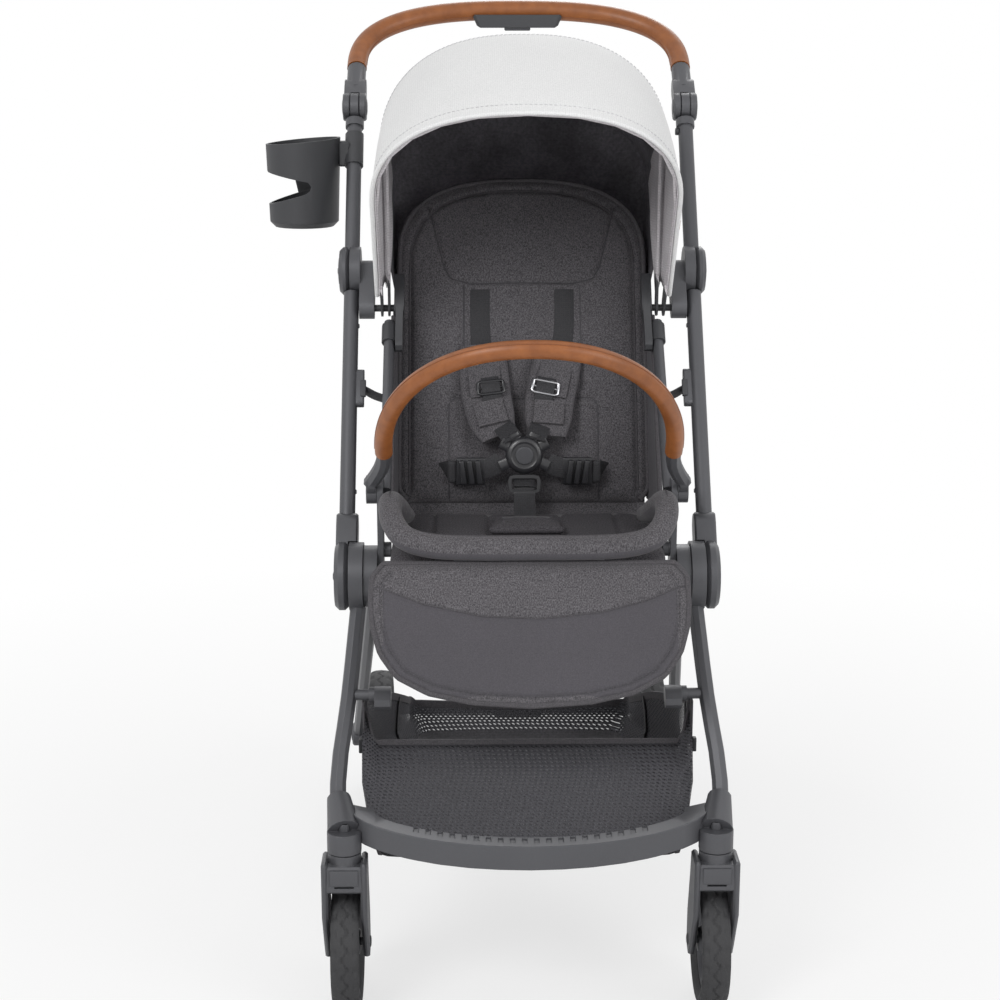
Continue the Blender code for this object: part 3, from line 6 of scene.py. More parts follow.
import bmesh
import bpy
import numpy as np
from mathutils import Matrix, Vector
from mathutils.bvhtree import BVHTree

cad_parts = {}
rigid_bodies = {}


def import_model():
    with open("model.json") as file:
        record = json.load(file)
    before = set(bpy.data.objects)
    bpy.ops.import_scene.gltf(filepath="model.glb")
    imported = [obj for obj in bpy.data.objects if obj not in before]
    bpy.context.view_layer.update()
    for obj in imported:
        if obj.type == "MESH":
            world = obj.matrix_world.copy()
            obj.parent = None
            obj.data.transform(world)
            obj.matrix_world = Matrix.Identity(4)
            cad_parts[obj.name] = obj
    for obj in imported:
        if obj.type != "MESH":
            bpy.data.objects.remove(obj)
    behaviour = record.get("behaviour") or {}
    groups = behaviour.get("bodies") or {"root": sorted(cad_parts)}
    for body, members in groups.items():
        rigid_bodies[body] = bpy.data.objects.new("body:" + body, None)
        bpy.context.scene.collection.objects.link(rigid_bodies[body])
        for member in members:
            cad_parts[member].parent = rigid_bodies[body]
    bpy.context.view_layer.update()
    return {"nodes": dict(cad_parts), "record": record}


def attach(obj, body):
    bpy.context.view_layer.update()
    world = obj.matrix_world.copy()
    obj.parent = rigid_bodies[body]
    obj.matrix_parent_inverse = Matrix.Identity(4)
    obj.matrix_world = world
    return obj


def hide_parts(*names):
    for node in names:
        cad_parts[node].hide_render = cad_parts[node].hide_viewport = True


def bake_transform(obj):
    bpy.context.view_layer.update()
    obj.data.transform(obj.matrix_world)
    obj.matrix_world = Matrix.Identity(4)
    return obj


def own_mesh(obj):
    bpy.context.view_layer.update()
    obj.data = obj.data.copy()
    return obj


for left_over in list(bpy.data.objects):
    bpy.data.objects.remove(left_over, do_unlink=True)

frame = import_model()
NODES = frame["nodes"]
RECORD = frame["record"]
BODY_OF = {n: b for b, names in RECORD["behaviour"]["bodies"].items() for n in names}
SLOT_OF = {s["node"]: s["material_slot"] for s in RECORD["subparts"]}
SIDES = (("left", -1), ("right", 1))

# The places below are written in the chassis frame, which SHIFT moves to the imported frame
SHIFT = Vector((0.04025, -0.303313, 0.0))
FRAME_X = 0.195
LEAN = math.radians(35)
LOWER_HUB = (0.130, 0.435)
KNUCKLE = (0.4672, 0.91666)
HANDLE_LEAN = math.radians(53)
BUMPER_PIVOT = (0.125, 0.530)
BUMPER_RISE = math.radians(43.57)
CANOPY_AXIS = (0.310, 0.700)
BACK_FOOT = (0.262, 0.484)
BACK_LEAN = math.radians(25.3)
LEG_AXIS = (0.030, 0.4685)
LEG_HANG = math.radians(29)
PAN_TOP, PAN_MIDDLE = 0.478, 0.4655
PAN_FRONT, PAN_REAR = 0.050, 0.246
BUCKLE = (0.238, 0.5445)
CASTOR_X, FRONT_RADIUS = 0.192, 0.070
REAR_WHEEL, REAR_RADIUS = (0.180, 0.600), 0.085
TYRE_WIDTH = 0.030
CLOTH_WALL = 0.0016
LINE_POINTS = 150


# Node materials

def feed(tree, made, inputs):
    """Gives each input of a node its constant, or links it to an output."""
    for key, value in inputs.items():
        if isinstance(value, bpy.types.NodeSocket):
            tree.links.new(value, made.inputs[key])
        else:
            made.inputs[key].default_value = value
    return made


def node(tree, kind, inputs=None, **settings):
    made = tree.nodes.new(kind)
    for key, value in settings.items():
        setattr(made, key, value)
    return feed(tree, made, inputs or {})


def ramp(tree, source, low, high, colours):
    made = node(tree, "ShaderNodeValToRGB", {"Fac": source})
    for end, place, colour in zip(made.color_ramp.elements, (low, high), colours):
        end.position = place
        end.color = (*colour, 1)
    return made.outputs["Color"]


def waves(tree, place, period, directions, uneven=0.6):
    """Fine bands across each direction, multiplied, from 0 to 1."""
    total = None
    for way in directions:
        band = node(tree, "ShaderNodeTexWave",
                    {"Vector": place, "Scale": 0.314 / period, "Distortion": uneven, "Detail Scale": 3.0},
                    wave_type="BANDS", bands_direction="DIAGONAL" if way == "D" else way).outputs["Fac"]
        if total is not None:
            band = node(tree, "ShaderNodeMath", {0: total, 1: band}, operation="MULTIPLY").outputs[0]
        total = band
    return total


def multiplied(tree, share, first, second):
    return node(tree, "ShaderNodeMix", {0: share, 6: first, 7: second},
                data_type="RGBA", blend_type="MULTIPLY").outputs[2]


def surface(name, dark, light, rough, metal=0.0, grain=500.0, blotch=9.0, spread=0.10, bump=0.25,
            depth=0.0002, weave=0.0, ways="XZ", contrast=0.8, cell=0.0, sheen=0.0, edge=0.0, holes=0.0,
            stretch=(1, 1, 1), coat=0.0, shade=0.84):
    """One finish: mottled colour, uneven roughness and a fine relief of grain, cells or threads."""
    mat = bpy.data.materials.new(name)
    mat.use_nodes = True
    tree = mat.node_tree
    white = (1, 1, 1)
    where = node(tree, "ShaderNodeTexCoord").outputs["Object"]
    drawn = node(tree, "ShaderNodeMapping", {"Vector": where, "Scale": stretch}).outputs["Vector"]
    fine = node(tree, "ShaderNodeTexNoise",
                {"Vector": drawn, "Scale": grain, "Detail": 3.0, "Roughness": 0.62}).outputs["Fac"]
    broad = node(tree, "ShaderNodeTexNoise", {"Vector": where, "Scale": blotch, "Detail": 3.0}).outputs["Fac"]
    colour = multiplied(tree, 1.0, ramp(tree, fine, 0.34, 0.66, (dark, light)),
                        ramp(tree, broad, 0.35, 0.65, ((shade,) * 3, white)))
    height = fine
    if weave:
        height = waves(tree, where, weave, ways)
        colour = multiplied(tree, contrast, colour, ramp(tree, height, 0.0, 0.8, ((0.80,) * 3, white)))
    if cell:
        height = node(tree, "ShaderNodeTexVoronoi", {"Vector": where, "Scale": cell, "Randomness": 0.9},
                      feature="F1").outputs["Distance"]
    gloss = node(tree, "ShaderNodeMapRange",
                 {"Value": broad, "To Min": rough - spread / 2, "To Max": rough + spread / 2})
    relief = node(tree, "ShaderNodeBump", {"Height": height, "Strength": bump, "Distance": depth})
    if edge:
        worn = node(tree, "ShaderNodeBevel", {"Radius": edge}, samples=4)
        feed(tree, relief, {"Normal": worn.outputs["Normal"]})
    bsdf = feed(tree, tree.nodes["Principled BSDF"], {
        "Base Color": colour, "Roughness": gloss.outputs["Result"], "Normal": relief.outputs["Normal"],
        "Metallic": metal, "Sheen Weight": sheen, "Sheen Roughness": 0.5, "Coat Weight": coat,
        "Coat Roughness": 0.35})
    if holes:
        gaps = node(tree, "ShaderNodeMapRange", {"Value": waves(tree, where, holes, "DZ", 0.0), "From Min": 0.25,
                                                 "From Max": 0.55, "To Min": 1.0, "To Max": 0.30})
        feed(tree, bsdf, {"Alpha": gaps.outputs["Result"]})
    return mat


SATIN = surface("satin_grey", (0.086, 0.087, 0.095), (0.104, 0.105, 0.114), 0.42, metal=0.30, grain=1900,
                bump=0.10, depth=0.00008, edge=0.0012, shade=0.93)
PLASTIC = surface("moulded_black", (0.040, 0.041, 0.045), (0.054, 0.055, 0.060), 0.50, grain=2600, bump=0.22,
                  depth=0.0001, edge=0.0009, shade=0.92)
GLOSSY = surface("smooth_black", (0.022, 0.022, 0.025), (0.030, 0.030, 0.034), 0.28, grain=1500, bump=0.05,
                 depth=0.00005, edge=0.0008, coat=0.2)
LEATHER = surface("tan_leather", (0.250, 0.078, 0.018), (0.335, 0.110, 0.027), 0.42, grain=60, cell=950,
                  bump=0.20, depth=0.00022, blotch=14, coat=0.05, shade=0.86)
KNIT = surface("pale_knit", (0.740, 0.742, 0.742), (0.880, 0.880, 0.880), 0.88, grain=900, weave=0.0022,
               ways="X", contrast=0.22, bump=0.16, sheen=0.10, shade=0.965)
KNIT_GREY = surface("lining_grey", (0.640, 0.612, 0.635), (0.790, 0.758, 0.782), 0.90, grain=600,
                    weave=0.0030, ways="YZ", bump=0.45, depth=0.0004, shade=0.90)
LINING = surface("lining_black", (0.042, 0.040, 0.046), (0.078, 0.074, 0.083), 0.66, grain=300, weave=0.0020,
                 depth=0.0003, sheen=0.12, shade=0.70)
# The canopy lining's deep broad blotches (shade 0.55) are painted sheen: lighter and darker patches where its folds
# catch the light.
CANOPY_LINING = surface("canopy_lining", (0.150, 0.143, 0.160), (0.250, 0.240, 0.262), 0.58, grain=260,
                        weave=0.0018, depth=0.0003, blotch=16, shade=0.55)
HEATHER = surface("charcoal_heather", (0.038, 0.035, 0.040), (0.180, 0.171, 0.184), 0.92, grain=900,
                  weave=0.0016, bump=0.35, depth=0.0003, sheen=0.14, stretch=(1.0, 1.0, 0.55), shade=0.86)
# A darker copy of the heather for the seat pan and crotch cushion: its extra darkness is painted shade on these
# upward faces.
SHADED_SEAT_HEATHER = surface("seat_heather_painted_shade", (0.026, 0.023, 0.028), (0.120, 0.113, 0.123), 0.94, grain=900,
                       weave=0.0016, ways="XY", bump=0.35, depth=0.0003, stretch=(1.0, 0.55, 1.0), shade=0.86)
FLAT_CLOTH = surface("plain_cloth", (0.064, 0.060, 0.070), (0.096, 0.090, 0.102), 0.82, grain=900,
                     weave=0.0012, bump=0.22, sheen=0.12, shade=0.90)
PIPING = surface("edge_binding", (0.050, 0.047, 0.053), (0.120, 0.113, 0.122), 0.85, grain=1000,
                 weave=0.0014, bump=0.35, depth=0.0003, shade=0.9)
WEBBING = surface("black_webbing", (0.020, 0.020, 0.023), (0.042, 0.041, 0.046), 0.70, grain=800,
                  weave=0.0021, bump=0.55, depth=0.0004, sheen=0.08)
MESH = surface("basket_mesh", (0.050, 0.049, 0.057), (0.095, 0.093, 0.104), 0.75, grain=700, weave=0.0030,
               bump=0.4, depth=0.0003, holes=0.0030, shade=0.88)
RUBBER = surface("tyre_rubber", (0.030, 0.030, 0.032), (0.050, 0.050, 0.053), 0.72, grain=1300, bump=0.30,
                 depth=0.00015, spread=0.16, shade=0.86)
STEEL = surface("bright_steel", (0.46, 0.46, 0.48), (0.56, 0.56, 0.58), 0.30, metal=1.0, grain=900, bump=0.06,
                depth=0.00005, stretch=(0.05, 1, 1))
THREAD = surface("thread", (0.060, 0.058, 0.064), (0.105, 0.100, 0.110), 0.8, grain=900)
PALE_THREAD = surface("pale_thread", (0.62, 0.62, 0.63), (0.76, 0.76, 0.77), 0.85, grain=900)
TAN_THREAD = surface("tan_thread", (0.20, 0.065, 0.020), (0.27, 0.09, 0.03), 0.6, grain=900)

BY_SLOT = {"satin": SATIN, "plastic": PLASTIC, "leather": LEATHER, "knit": KNIT, "heather": HEATHER,
           "mesh": MESH, "rubber": RUBBER, "steel": STEEL, "webbing": WEBBING}


# Meshes

def at(x, y, z):
    return Vector((x, y, z)) + SHIFT


def mesh_object(name, verts, faces, mats, sharp=40, weld=0.0):
    mesh = bpy.data.meshes.new(name)
    mesh.from_pydata([tuple(v) for v in verts], [], faces)
    bm = bmesh.new()
    bm.from_mesh(mesh)
    if weld:
        bmesh.ops.remove_doubles(bm, verts=bm.verts, dist=weld)
    bmesh.ops.recalc_face_normals(bm, faces=bm.faces)
    bm.to_mesh(mesh)
    bm.free()
    mesh.shade_smooth()
    mesh.set_sharp_from_angle(angle=math.radians(sharp))
    for mat in mats if isinstance(mats, list) else [mats]:
        mesh.materials.append(mat)
    made = bpy.data.objects.new(name, mesh)
    bpy.context.scene.collection.objects.link(made)
    return made


def apply_modifiers(obj):
    bpy.context.view_layer.update()
    fresh = bpy.data.meshes.new_from_object(obj.evaluated_get(bpy.context.evaluated_depsgraph_get()))
    obj.modifiers.clear()
    obj.data = fresh


def on(piece, body, slot_name, *nodes):
    """Fixes a piece to a body, in place of the named nodes."""
    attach(piece, body)
    if nodes:
        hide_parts(*nodes)


def between(piece):
    """For a piece that spans from the push frame to another body: bakes its placement into its mesh and fixes it to
    no body.
    """
    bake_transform(piece)


def fine_copy(name):
    """The node's own shape with smooth shading over its facets."""
    source = NODES[name].data
    verts = [v.co.copy() for v in source.vertices]
    faces = [tuple(p.vertices) for p in source.polygons]
    made = mesh_object("fine_" + name, verts, faces, BY_SLOT[SLOT_OF[name]], 38, 0.00001)
    on(made, BODY_OF[name], SLOT_OF[name], name)


def signed(value, power):
    """A power that keeps the value's sign."""
    return math.copysign(abs(value) ** power, value)


def even(points, count):
    """The same line with its points evenly spaced."""
    p = np.array([tuple(q) for q in points])
    d = np.concatenate([[0], np.cumsum(np.linalg.norm(np.diff(p, axis=0), axis=1))])
    t = np.linspace(0, d[-1], count)
    return [Vector([float(np.interp(v, d, p[:, k])) for k in range(3)]) for v in t]


def even_flat(line, count):
    return [tuple(p)[:2] for p in even([(x, y, 0) for x, y in line], count)]


def round_path(points, steps=8):
    """A smooth line through points."""
    pts = [Vector(p) for p in points]
    pts = [pts[0] * 2 - pts[1]] + pts + [pts[-1] * 2 - pts[-2]]
    path = []
    for i in range(1, len(pts) - 2):
        a, b, c, d = pts[i - 1:i + 3]
        for k in range(steps):
            t = k / steps
            path.append(0.5 * (2 * b + (c - a) * t + (2 * a - 5 * b + 4 * c - d) * t * t
                               + (3 * b - a - 3 * c + d) * t ** 3))
    path.append(pts[-2])
    return path


def beside(path, up):
    """For each point of a path, the direction square to the path and to up."""
    last = len(path) - 1
    return [(path[min(i + 1, last)] - path[max(i - 1, 0)]).normalized().cross(up).normalized()
            for i in range(last + 1)]


def away_from(centre, line):
    """The direction from a centre to each point of a line."""
    return lambda i: (line[i] - centre).normalized()


def circle(radius, sides=16):
    return [(radius * math.cos(2 * math.pi * i / sides), radius * math.sin(2 * math.pi * i / sides))
            for i in range(sides)]


def arch(half, rise, power, count, start):
    """A rounded arch from its left foot to its right one."""
    points = []
    for i in range(count + 1):
        angle = math.pi * i / count
        points.append((-signed(math.cos(angle), 2 / power) * half,
                       start + rise * max(math.sin(angle), 0) ** (2 / power)))
    return points


def band(width, thickness):
    """A strap's section, with soft edges."""
    w, t = width / 2, thickness / 2
    s = min(t * 0.8, w * 0.3)
    return [(-w, -t + s * 0.6), (-w + s, -t), (w - s, -t), (w, -t + s * 0.6), (w, t - s * 0.6), (w - s, t),
            (-w + s, t), (-w, t - s * 0.6)]


def bevelled(corners, cut):
    """A closed ring with its corners cut, at this share of each side."""
    ring = []
    for a, b in zip(corners, corners[1:] + corners[:1]):
        ring += [a.lerp(b, t) for t in (cut, 0.5, 1 - cut)]
    return ring


def ring_faces(count, n, closed=False, base=0):
    """Faces between count rings of n points each."""
    faces = []
    for i in range(count if closed else count - 1):
        a, b = base + i * n, base + ((i + 1) % count) * n
        faces += [(a + j, a + (j + 1) % n, b + (j + 1) % n, b + j) for j in range(n)]
    return faces


def tube_faces(count, n, base=0):
    """The same with both ends closed."""
    end = base + (count - 1) * n
    return ring_faces(count, n, base=base) + [tuple(range(base, base + n)), tuple(range(end, end + n))]


def cloth_faces(rows, cols):
    """Faces of a grid and of its second layer, in pairs, and then of the edge between them."""
    w = cols + 1
    inside = w * (rows + 1)
    faces = []
    for i in range(rows):
        for a in range(i * w, i * w + cols):
            b = inside + a
            faces += [(a, a + 1, a + w + 1, a + w), (b, b + w, b + w + 1, b + 1)]
    loop = list(range(w)) + [i * w + cols for i in range(1, rows + 1)]
    loop += [rows * w + j for j in range(cols - 1, -1, -1)] + [i * w for i in range(rows - 1, 0, -1)]
    return faces + [(a, b, inside + b, inside + a) for a, b in zip(loop, loop[1:] + loop[:1])]


def sweep(name, path, section, mat, up=(0, 0, 1), closed=False, scale=None):
    """A section carried along a path, its second axis held towards up."""
    pts = [Vector(p) for p in path]
    up = up if callable(up) else (lambda i, v=Vector(up): v)
    count = len(pts)
    verts = []
    for i, p in enumerate(pts):
        before = pts[i - 1] if closed else pts[max(i - 1, 0)]
        after = pts[(i + 1) % count] if closed else pts[min(i + 1, count - 1)]
        heading = (after - before).normalized()
        side = heading.cross(up(i)).normalized()
        top = side.cross(heading)
        k = scale(i / (count - 1)) if scale else 1.0
        verts += [p + side * a * k + top * b * k for a, b in section]
    n = len(section)
    return mesh_object(name, verts, ring_faces(count, n, True) if closed else tube_faces(count, n), mat)


def joined(name, pieces):
    """Several meshes as one object."""
    verts, faces, index, mats = [], [], [], []
    for piece in pieces:
        base = len(verts)
        mats += [mat for mat in piece.data.materials if mat not in mats]
        own = [mats.index(mat) for mat in piece.data.materials]
        verts += [v.co.copy() for v in piece.data.vertices]
        for p in piece.data.polygons:
            faces.append(tuple(base + v for v in p.vertices))
            index.append(own[p.material_index])
        bpy.data.objects.remove(piece, do_unlink=True)
    made = mesh_object(name, verts, faces, mats)
    made.data.polygons.foreach_set("material_index", index)
    return made


def stitches(name, path, mat, up, spacing, length, radius):
    """A row of short threads along a path."""
    lengths = [0.0]
    for a, b in zip(path, path[1:]):
        lengths.append(lengths[-1] + (b - a).length)
    verts, faces = [], []
    up = up if callable(up) else (lambda i, v=Vector(up): v)
    d = spacing
    while d < lengths[-1] - spacing:
        i = max(k for k in range(len(lengths) - 1) if lengths[k] <= d)
        heading = (path[i + 1] - path[i]).normalized()
        middle = path[i] + heading * (d - lengths[i])
        side = heading.cross(up(i)).normalized()
        top = side.cross(heading)
        faces += tube_faces(4, 5, len(verts))
        for s, r in ((-0.5, 0.35), (-0.2, 1.0), (0.2, 1.0), (0.5, 0.35)):
            verts += [middle + heading * s * length + side * a * r + top * b * r for a, b in circle(radius, 5)]
        d += spacing
    return mesh_object(name, verts, faces, mat)


def lathe(name, profile, centre, axis, mat, sides=40):
    """A profile of (radius, height) turned about an axis through centre."""
    axis = Vector(axis).normalized()
    u = axis.orthogonal().normalized()
    v = axis.cross(u)
    verts = [centre + axis * h + (u * a + v * b) for r, h in profile for a, b in circle(r, sides)]
    return mesh_object(name, verts, tube_faces(len(profile), sides), mat)


def dome(name, centre, axis, radius, height, mat, sides=20):
    """A rivet head or cap that stands on a surface."""
    profile = ((1.0, 0.0), (1.0, 0.35), (0.9, 0.7), (0.62, 0.93), (0.30, 0.98))
    return lathe(name, [(radius * r, height * h) for r, h in profile], centre, axis, mat, sides)


def cap(x, place, way, radius, height, mat=SATIN, sides=20):
    """A dome that faces along x."""
    return dome("cap", at(x, *place), (way, 0, 0), radius, height, mat, sides)


def soft_box(half, mat, place, turn=Matrix(), bevel=0.3):
    """A block with round edges, turned and then set at a place."""
    bm = bmesh.new()
    bmesh.ops.create_cube(bm, size=2)
    bmesh.ops.scale(bm, verts=bm.verts, vec=half)
    bmesh.ops.bevel(bm, geom=bm.edges[:], offset=min(half) * bevel, segments=3, profile=0.6, affect="EDGES")
    bmesh.ops.transform(bm, matrix=Matrix.Translation(place) @ turn, verts=bm.verts)
    verts = [v.co.copy() for v in bm.verts]
    faces = [tuple(v.index for v in f.verts) for f in bm.faces]
    bm.free()
    return mesh_object("block", verts, faces, mat)


# Rigid nodes keep their shapes; the others are replaced by finer or softer pieces below

REPLACED = {"basket", "canopy_front_panel", "canopy_middle_panel", "canopy_rear_panel", "seat_back_pad",
            "leg_rest", "seat_pan", "seat_rim", "handle_grip", "bumper_grip", "buckle_body"}
REPLACED |= {f"{label}_{side}" for label in ("shoulder_strap", "front_tyre", "rear_tyre") for side, _ in SIDES}
for rigid in sorted(set(NODES) - REPLACED):
    fine_copy(rigid)


# Leather grips on the arches of the handle and of the bumper bar

def handle_at(x, s, off=0.0):
    y = KNUCKLE[0] + s * math.sin(HANDLE_LEAN) - off * math.cos(HANDLE_LEAN)
    z = KNUCKLE[1] + s * math.cos(HANDLE_LEAN) + off * math.sin(HANDLE_LEAN)
    return at(x, y, z)


def bumper_at(x, s, off=0.0):
    y = BUMPER_PIVOT[0] - s * math.cos(BUMPER_RISE) - off * math.sin(BUMPER_RISE)
    z = BUMPER_PIVOT[1] + s * math.sin(BUMPER_RISE) - off * math.cos(BUMPER_RISE)
    return at(x, y, z)


def grip(label, place, shape, radius, body, seam_side):
    """A leather cover on an arch, with its sewn seam on one side of the bar."""
    line = even([place(x, s) for x, s in arch(*shape)], LINE_POINTS)
    up = place(0, 0, 1.0) - place(0, 0, 0.0)
    on(sweep(label + "_cover", line, circle(radius, 28), LEATHER, up=up), body, "leather", label)
    inner = [p + side * seam_side * radius * 0.995 for p, side in zip(line, beside(line, up))][2:-2]
    seam_line = sweep("seam_line", inner, circle(0.00055, 6), TAN_THREAD, up=up)
    row = stitches("row", inner, TAN_THREAD, up, 0.0046, 0.0030, 0.0006)
    on(joined(label + "_seam", [seam_line, row]), body, "leather")


grip("handle_grip", handle_at, (FRAME_X, 0.113, 2.6, 240, 0.071), 0.0118, "handle_bar", 1)
grip("bumper_grip", bumper_at, (0.150, 0.188, 2.2, 240, 0.080), 0.0092, "bumper", -1)


# Wheels

TREAD = [(-0.62, -0.0150), (-0.86, -0.0118), (-1.0, -0.0078), (-0.985, -0.0052), (-0.90, -0.0030),
         (-0.72, -0.0014), (-0.45, -0.0005)]


def tyre(label, centre, radius, body, blocks):
    """A tyre with a zigzag groove and side blocks."""
    half, points, steps = TYRE_WIDTH / 2, 45, 8
    outline = np.array(TREAD + [(0.0, 0.0)] + [(-a, r) for a, r in reversed(TREAD)])
    a, r = outline[:, 0] * half, outline[:, 1]
    d = np.concatenate([[0], np.cumsum(np.hypot(np.diff(a), np.diff(r)))])
    t = np.linspace(0, d[-1], points)
    profile = list(zip(np.interp(t, d, a), np.interp(t, d, r)))
    turns, verts = blocks * steps, []
    for i in range(turns):
        angle = 2 * math.pi * i / turns
        phase = (i / steps) % 1.0
        zigzag = 0.20 * (abs(phase * 2 - 1) * 2 - 1)
        for x, off in profile:
            u, cut = x / half, 0.0
            if off > -0.0045 and abs(u - zigzag) < 0.085:
                cut = 0.0014
            elif off > -0.0045 and abs(u) > 0.52 and phase < 0.26:
                cut = 0.0013
            reach = radius + off - cut
            verts.append((centre.x + x, centre.y + reach * math.cos(angle), centre.z + reach * math.sin(angle)))
    tread = mesh_object(label + "_tread", verts, ring_faces(turns, points, True), RUBBER, 30)
    on(tread, body, "rubber", label)


def ribs(body, centre, radius):
    """Ribs on both faces of a wheel's web."""
    section = [(-0.0022, -0.0012), (0.0022, -0.0012), (0.0016, 0.0016), (-0.0016, 0.0016)]
    pieces = []
    for way in (-1, 1):
        face = centre + Vector((0.0034 * way, 0, 0))
        for k in range(6):
            angle = math.radians(60 * k + 12)
            out = Vector((0, math.cos(angle), math.sin(angle)))
            a, b = face + out * 0.0125, face + out * (radius - 0.026)
            pieces.append(sweep("rib", [a, (a + b) / 2, b], section, SATIN, up=(way, 0, 0)))
    on(joined(body + "_ribs", pieces), body, "satin")


for side, sign in SIDES:
    for end, centre, radius, blocks in (
            ("front", at(sign * CASTOR_X, 0, FRONT_RADIUS), FRONT_RADIUS, 22),
            ("rear", at(sign * REAR_WHEEL[0], REAR_WHEEL[1], REAR_RADIUS), REAR_RADIUS, 26)):
        wheel = f"{end}_wheel_{side}"
        tyre(f"{end}_tyre_{side}", centre, radius, wheel, blocks)
        ribs(wheel, centre, radius)
    trim = [cap(sign * CASTOR_X + way * 0.0234, (0, FRONT_RADIUS), way, 0.0062, 0.0016, PLASTIC)
            for way in (-1, 1)]
    trim.append(soft_box((0.0145, 0.0008, 0.0085), SATIN, at(sign * CASTOR_X, -0.0500, 0.163),
                         Matrix.Rotation(math.radians(2), 4, "X")))
    on(joined("fork_trim_" + side, trim), "castor_" + side, "satin")


# Canopy: one cloth over the bows, from the rear edge to the front rim

CANOPY_HALF, CANOPY_FLAT, CANOPY_CROWN, CANOPY_POWER = 0.165, 0.170, 0.140, 2.4
CANOPY_SIDE = 0.30                                  # the straight share of the cloth on each side
CANOPY_CENTRE = at(0, *CANOPY_AXIS)
BOWS = [math.radians(a) for a in (46, 64, 95, 132)]
REAR_EDGE, FRONT_EDGE = BOWS[0], BOWS[-1]
CANOPY_STITCH = (0.0050, 0.0034, 0.0005)


def ahead(angle):
    """The way the canopy opens at an angle."""
    return Vector((0, -math.sin(angle), math.cos(angle)))


def canopy_at(angle, t, out=0.0):
    """t runs from -1 at the left low edge over the crown to 1 at the right; out lifts it off the cloth."""
    s = (angle - REAR_EDGE) / (FRONT_EDGE - REAR_EDGE)
    inset = 0.0125 * (1 - s) - out
    k = max(j for j in range(3) if BOWS[j] <= angle + 1e-9)
    sag = math.sin(math.pi * min(max((angle - BOWS[k]) / (BOWS[k + 1] - BOWS[k]), 0), 1))
    dip = 0.0065 * sag ** 1.3
    half, crown = CANOPY_HALF - inset, CANOPY_CROWN - inset
    if abs(t) > 1 - CANOPY_SIDE:
        low = 0.024 + 0.006 * sag
        r = CANOPY_FLAT + (low - CANOPY_FLAT) * (abs(t) - (1 - CANOPY_SIDE)) / CANOPY_SIDE
        x = math.copysign(half - dip * 0.55 * math.sin(math.pi * (1 - abs(t)) / CANOPY_SIDE), t)
    else:
        phi = math.pi / 2 * (1 + t / (1 - CANOPY_SIDE))
        q = max(math.sin(phi), 0)
        x = -signed(math.cos(phi), 2 / CANOPY_POWER) * half
        r = CANOPY_FLAT + crown * q ** (2 / CANOPY_POWER) - dip * q ** 0.5
    return at(x, CANOPY_AXIS[0] + r * math.cos(angle), CANOPY_AXIS[1] + r * math.sin(angle))


def canopy_line(angle, points, reach=1.0, out=0.0, steps=120):
    """The cloth's line at an angle, as far down the sides as reach says."""
    return even([canopy_at(angle, (-1 + 2 * j / steps) * reach, out) for j in range(steps + 1)], points)


def canopy():
    rows, cols = 52, 96
    angles = [REAR_EDGE + (FRONT_EDGE - REAR_EDGE) * i / rows for i in range(rows + 1)]
    grid = [canopy_line(angle, cols + 1, steps=cols) for angle in angles]
    verts = [p for row in grid for p in row]
    for angle, row in zip(angles, grid):
        for p, normal in zip(row, beside(row, ahead(angle))):
            verts.append(p - normal * math.copysign(CLOTH_WALL, normal.dot(p - CANOPY_CENTRE)))
    index = []
    for i in range(rows):
        for j in range(cols):
            low = abs(j - cols / 2) / (cols / 2)
            index += [0, 1 if low > 0.42 + 0.16 * (1 - i / rows) else 2]
    faces = cloth_faces(rows, cols)
    cover = mesh_object("canopy_cover", verts, faces, [KNIT, KNIT_GREY, CANOPY_LINING], 50)
    cover.data.polygons.foreach_set("material_index", index + [0] * (len(faces) - len(index)))
    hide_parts("canopy_front_panel", "canopy_middle_panel", "canopy_rear_panel")
    between(cover)
    for label, angle, radius, reach, out, push, body in (
            ("rim", FRONT_EDGE, 0.0026, 1.0, -0.0006, 0.0016, "canopy_front"),
            ("back_hem", REAR_EDGE, 0.0018, 0.93, 0.0014, -0.0016, "push_frame")):
        line = [p + ahead(angle) * push for p in canopy_line(angle, LINE_POINTS, reach, out)]
        on(sweep("canopy_" + label, line, circle(radius, 10), KNIT, up=ahead(angle) * push), body, "knit")
    line = canopy_line(FRONT_EDGE - 0.034, 190, out=0.0003)
    on(stitches("canopy_rim_stitches", line, PALE_THREAD, away_from(CANOPY_CENTRE, line), *CANOPY_STITCH),
       "canopy_front", "knit")
    for label, angle in (("crown_a", BOWS[2] + 0.010), ("crown_b", BOWS[2] - 0.030), ("rear", BOWS[1])):
        line = canopy_line(angle, 170, 0.97, 0.0004)
        row = stitches("canopy_stitches_" + label, line, PALE_THREAD, away_from(CANOPY_CENTRE, line),
                       *CANOPY_STITCH)
        between(row)
    line = canopy_line(FRONT_EDGE - 0.02, LINE_POINTS, out=-0.0040)
    hem = sweep("canopy_inner_hem", line, band(0.012, 0.0014), KNIT_GREY, up=away_from(CANOPY_CENTRE, line))
    on(hem, "canopy_front", "knit")
    line = [canopy_at(FRONT_EDGE - a, 0.765, 0.0016) for a in (0.0, 0.02, 0.045)]
    on(sweep("canopy_tab", line, band(0.016, 0.0018), LEATHER, up=(1, 0, 0)), "canopy_front", "leather")
    for label in ("canopy_front_bow", "canopy_middle_bow"):
        mesh = bpy.data.objects["fine_" + label].data
        mesh.materials.append(KNIT_GREY)
        for p in mesh.polygons:
            if (p.center - CANOPY_CENTRE).yz.length > 0.034:
                p.material_index = len(mesh.materials) - 1


canopy()

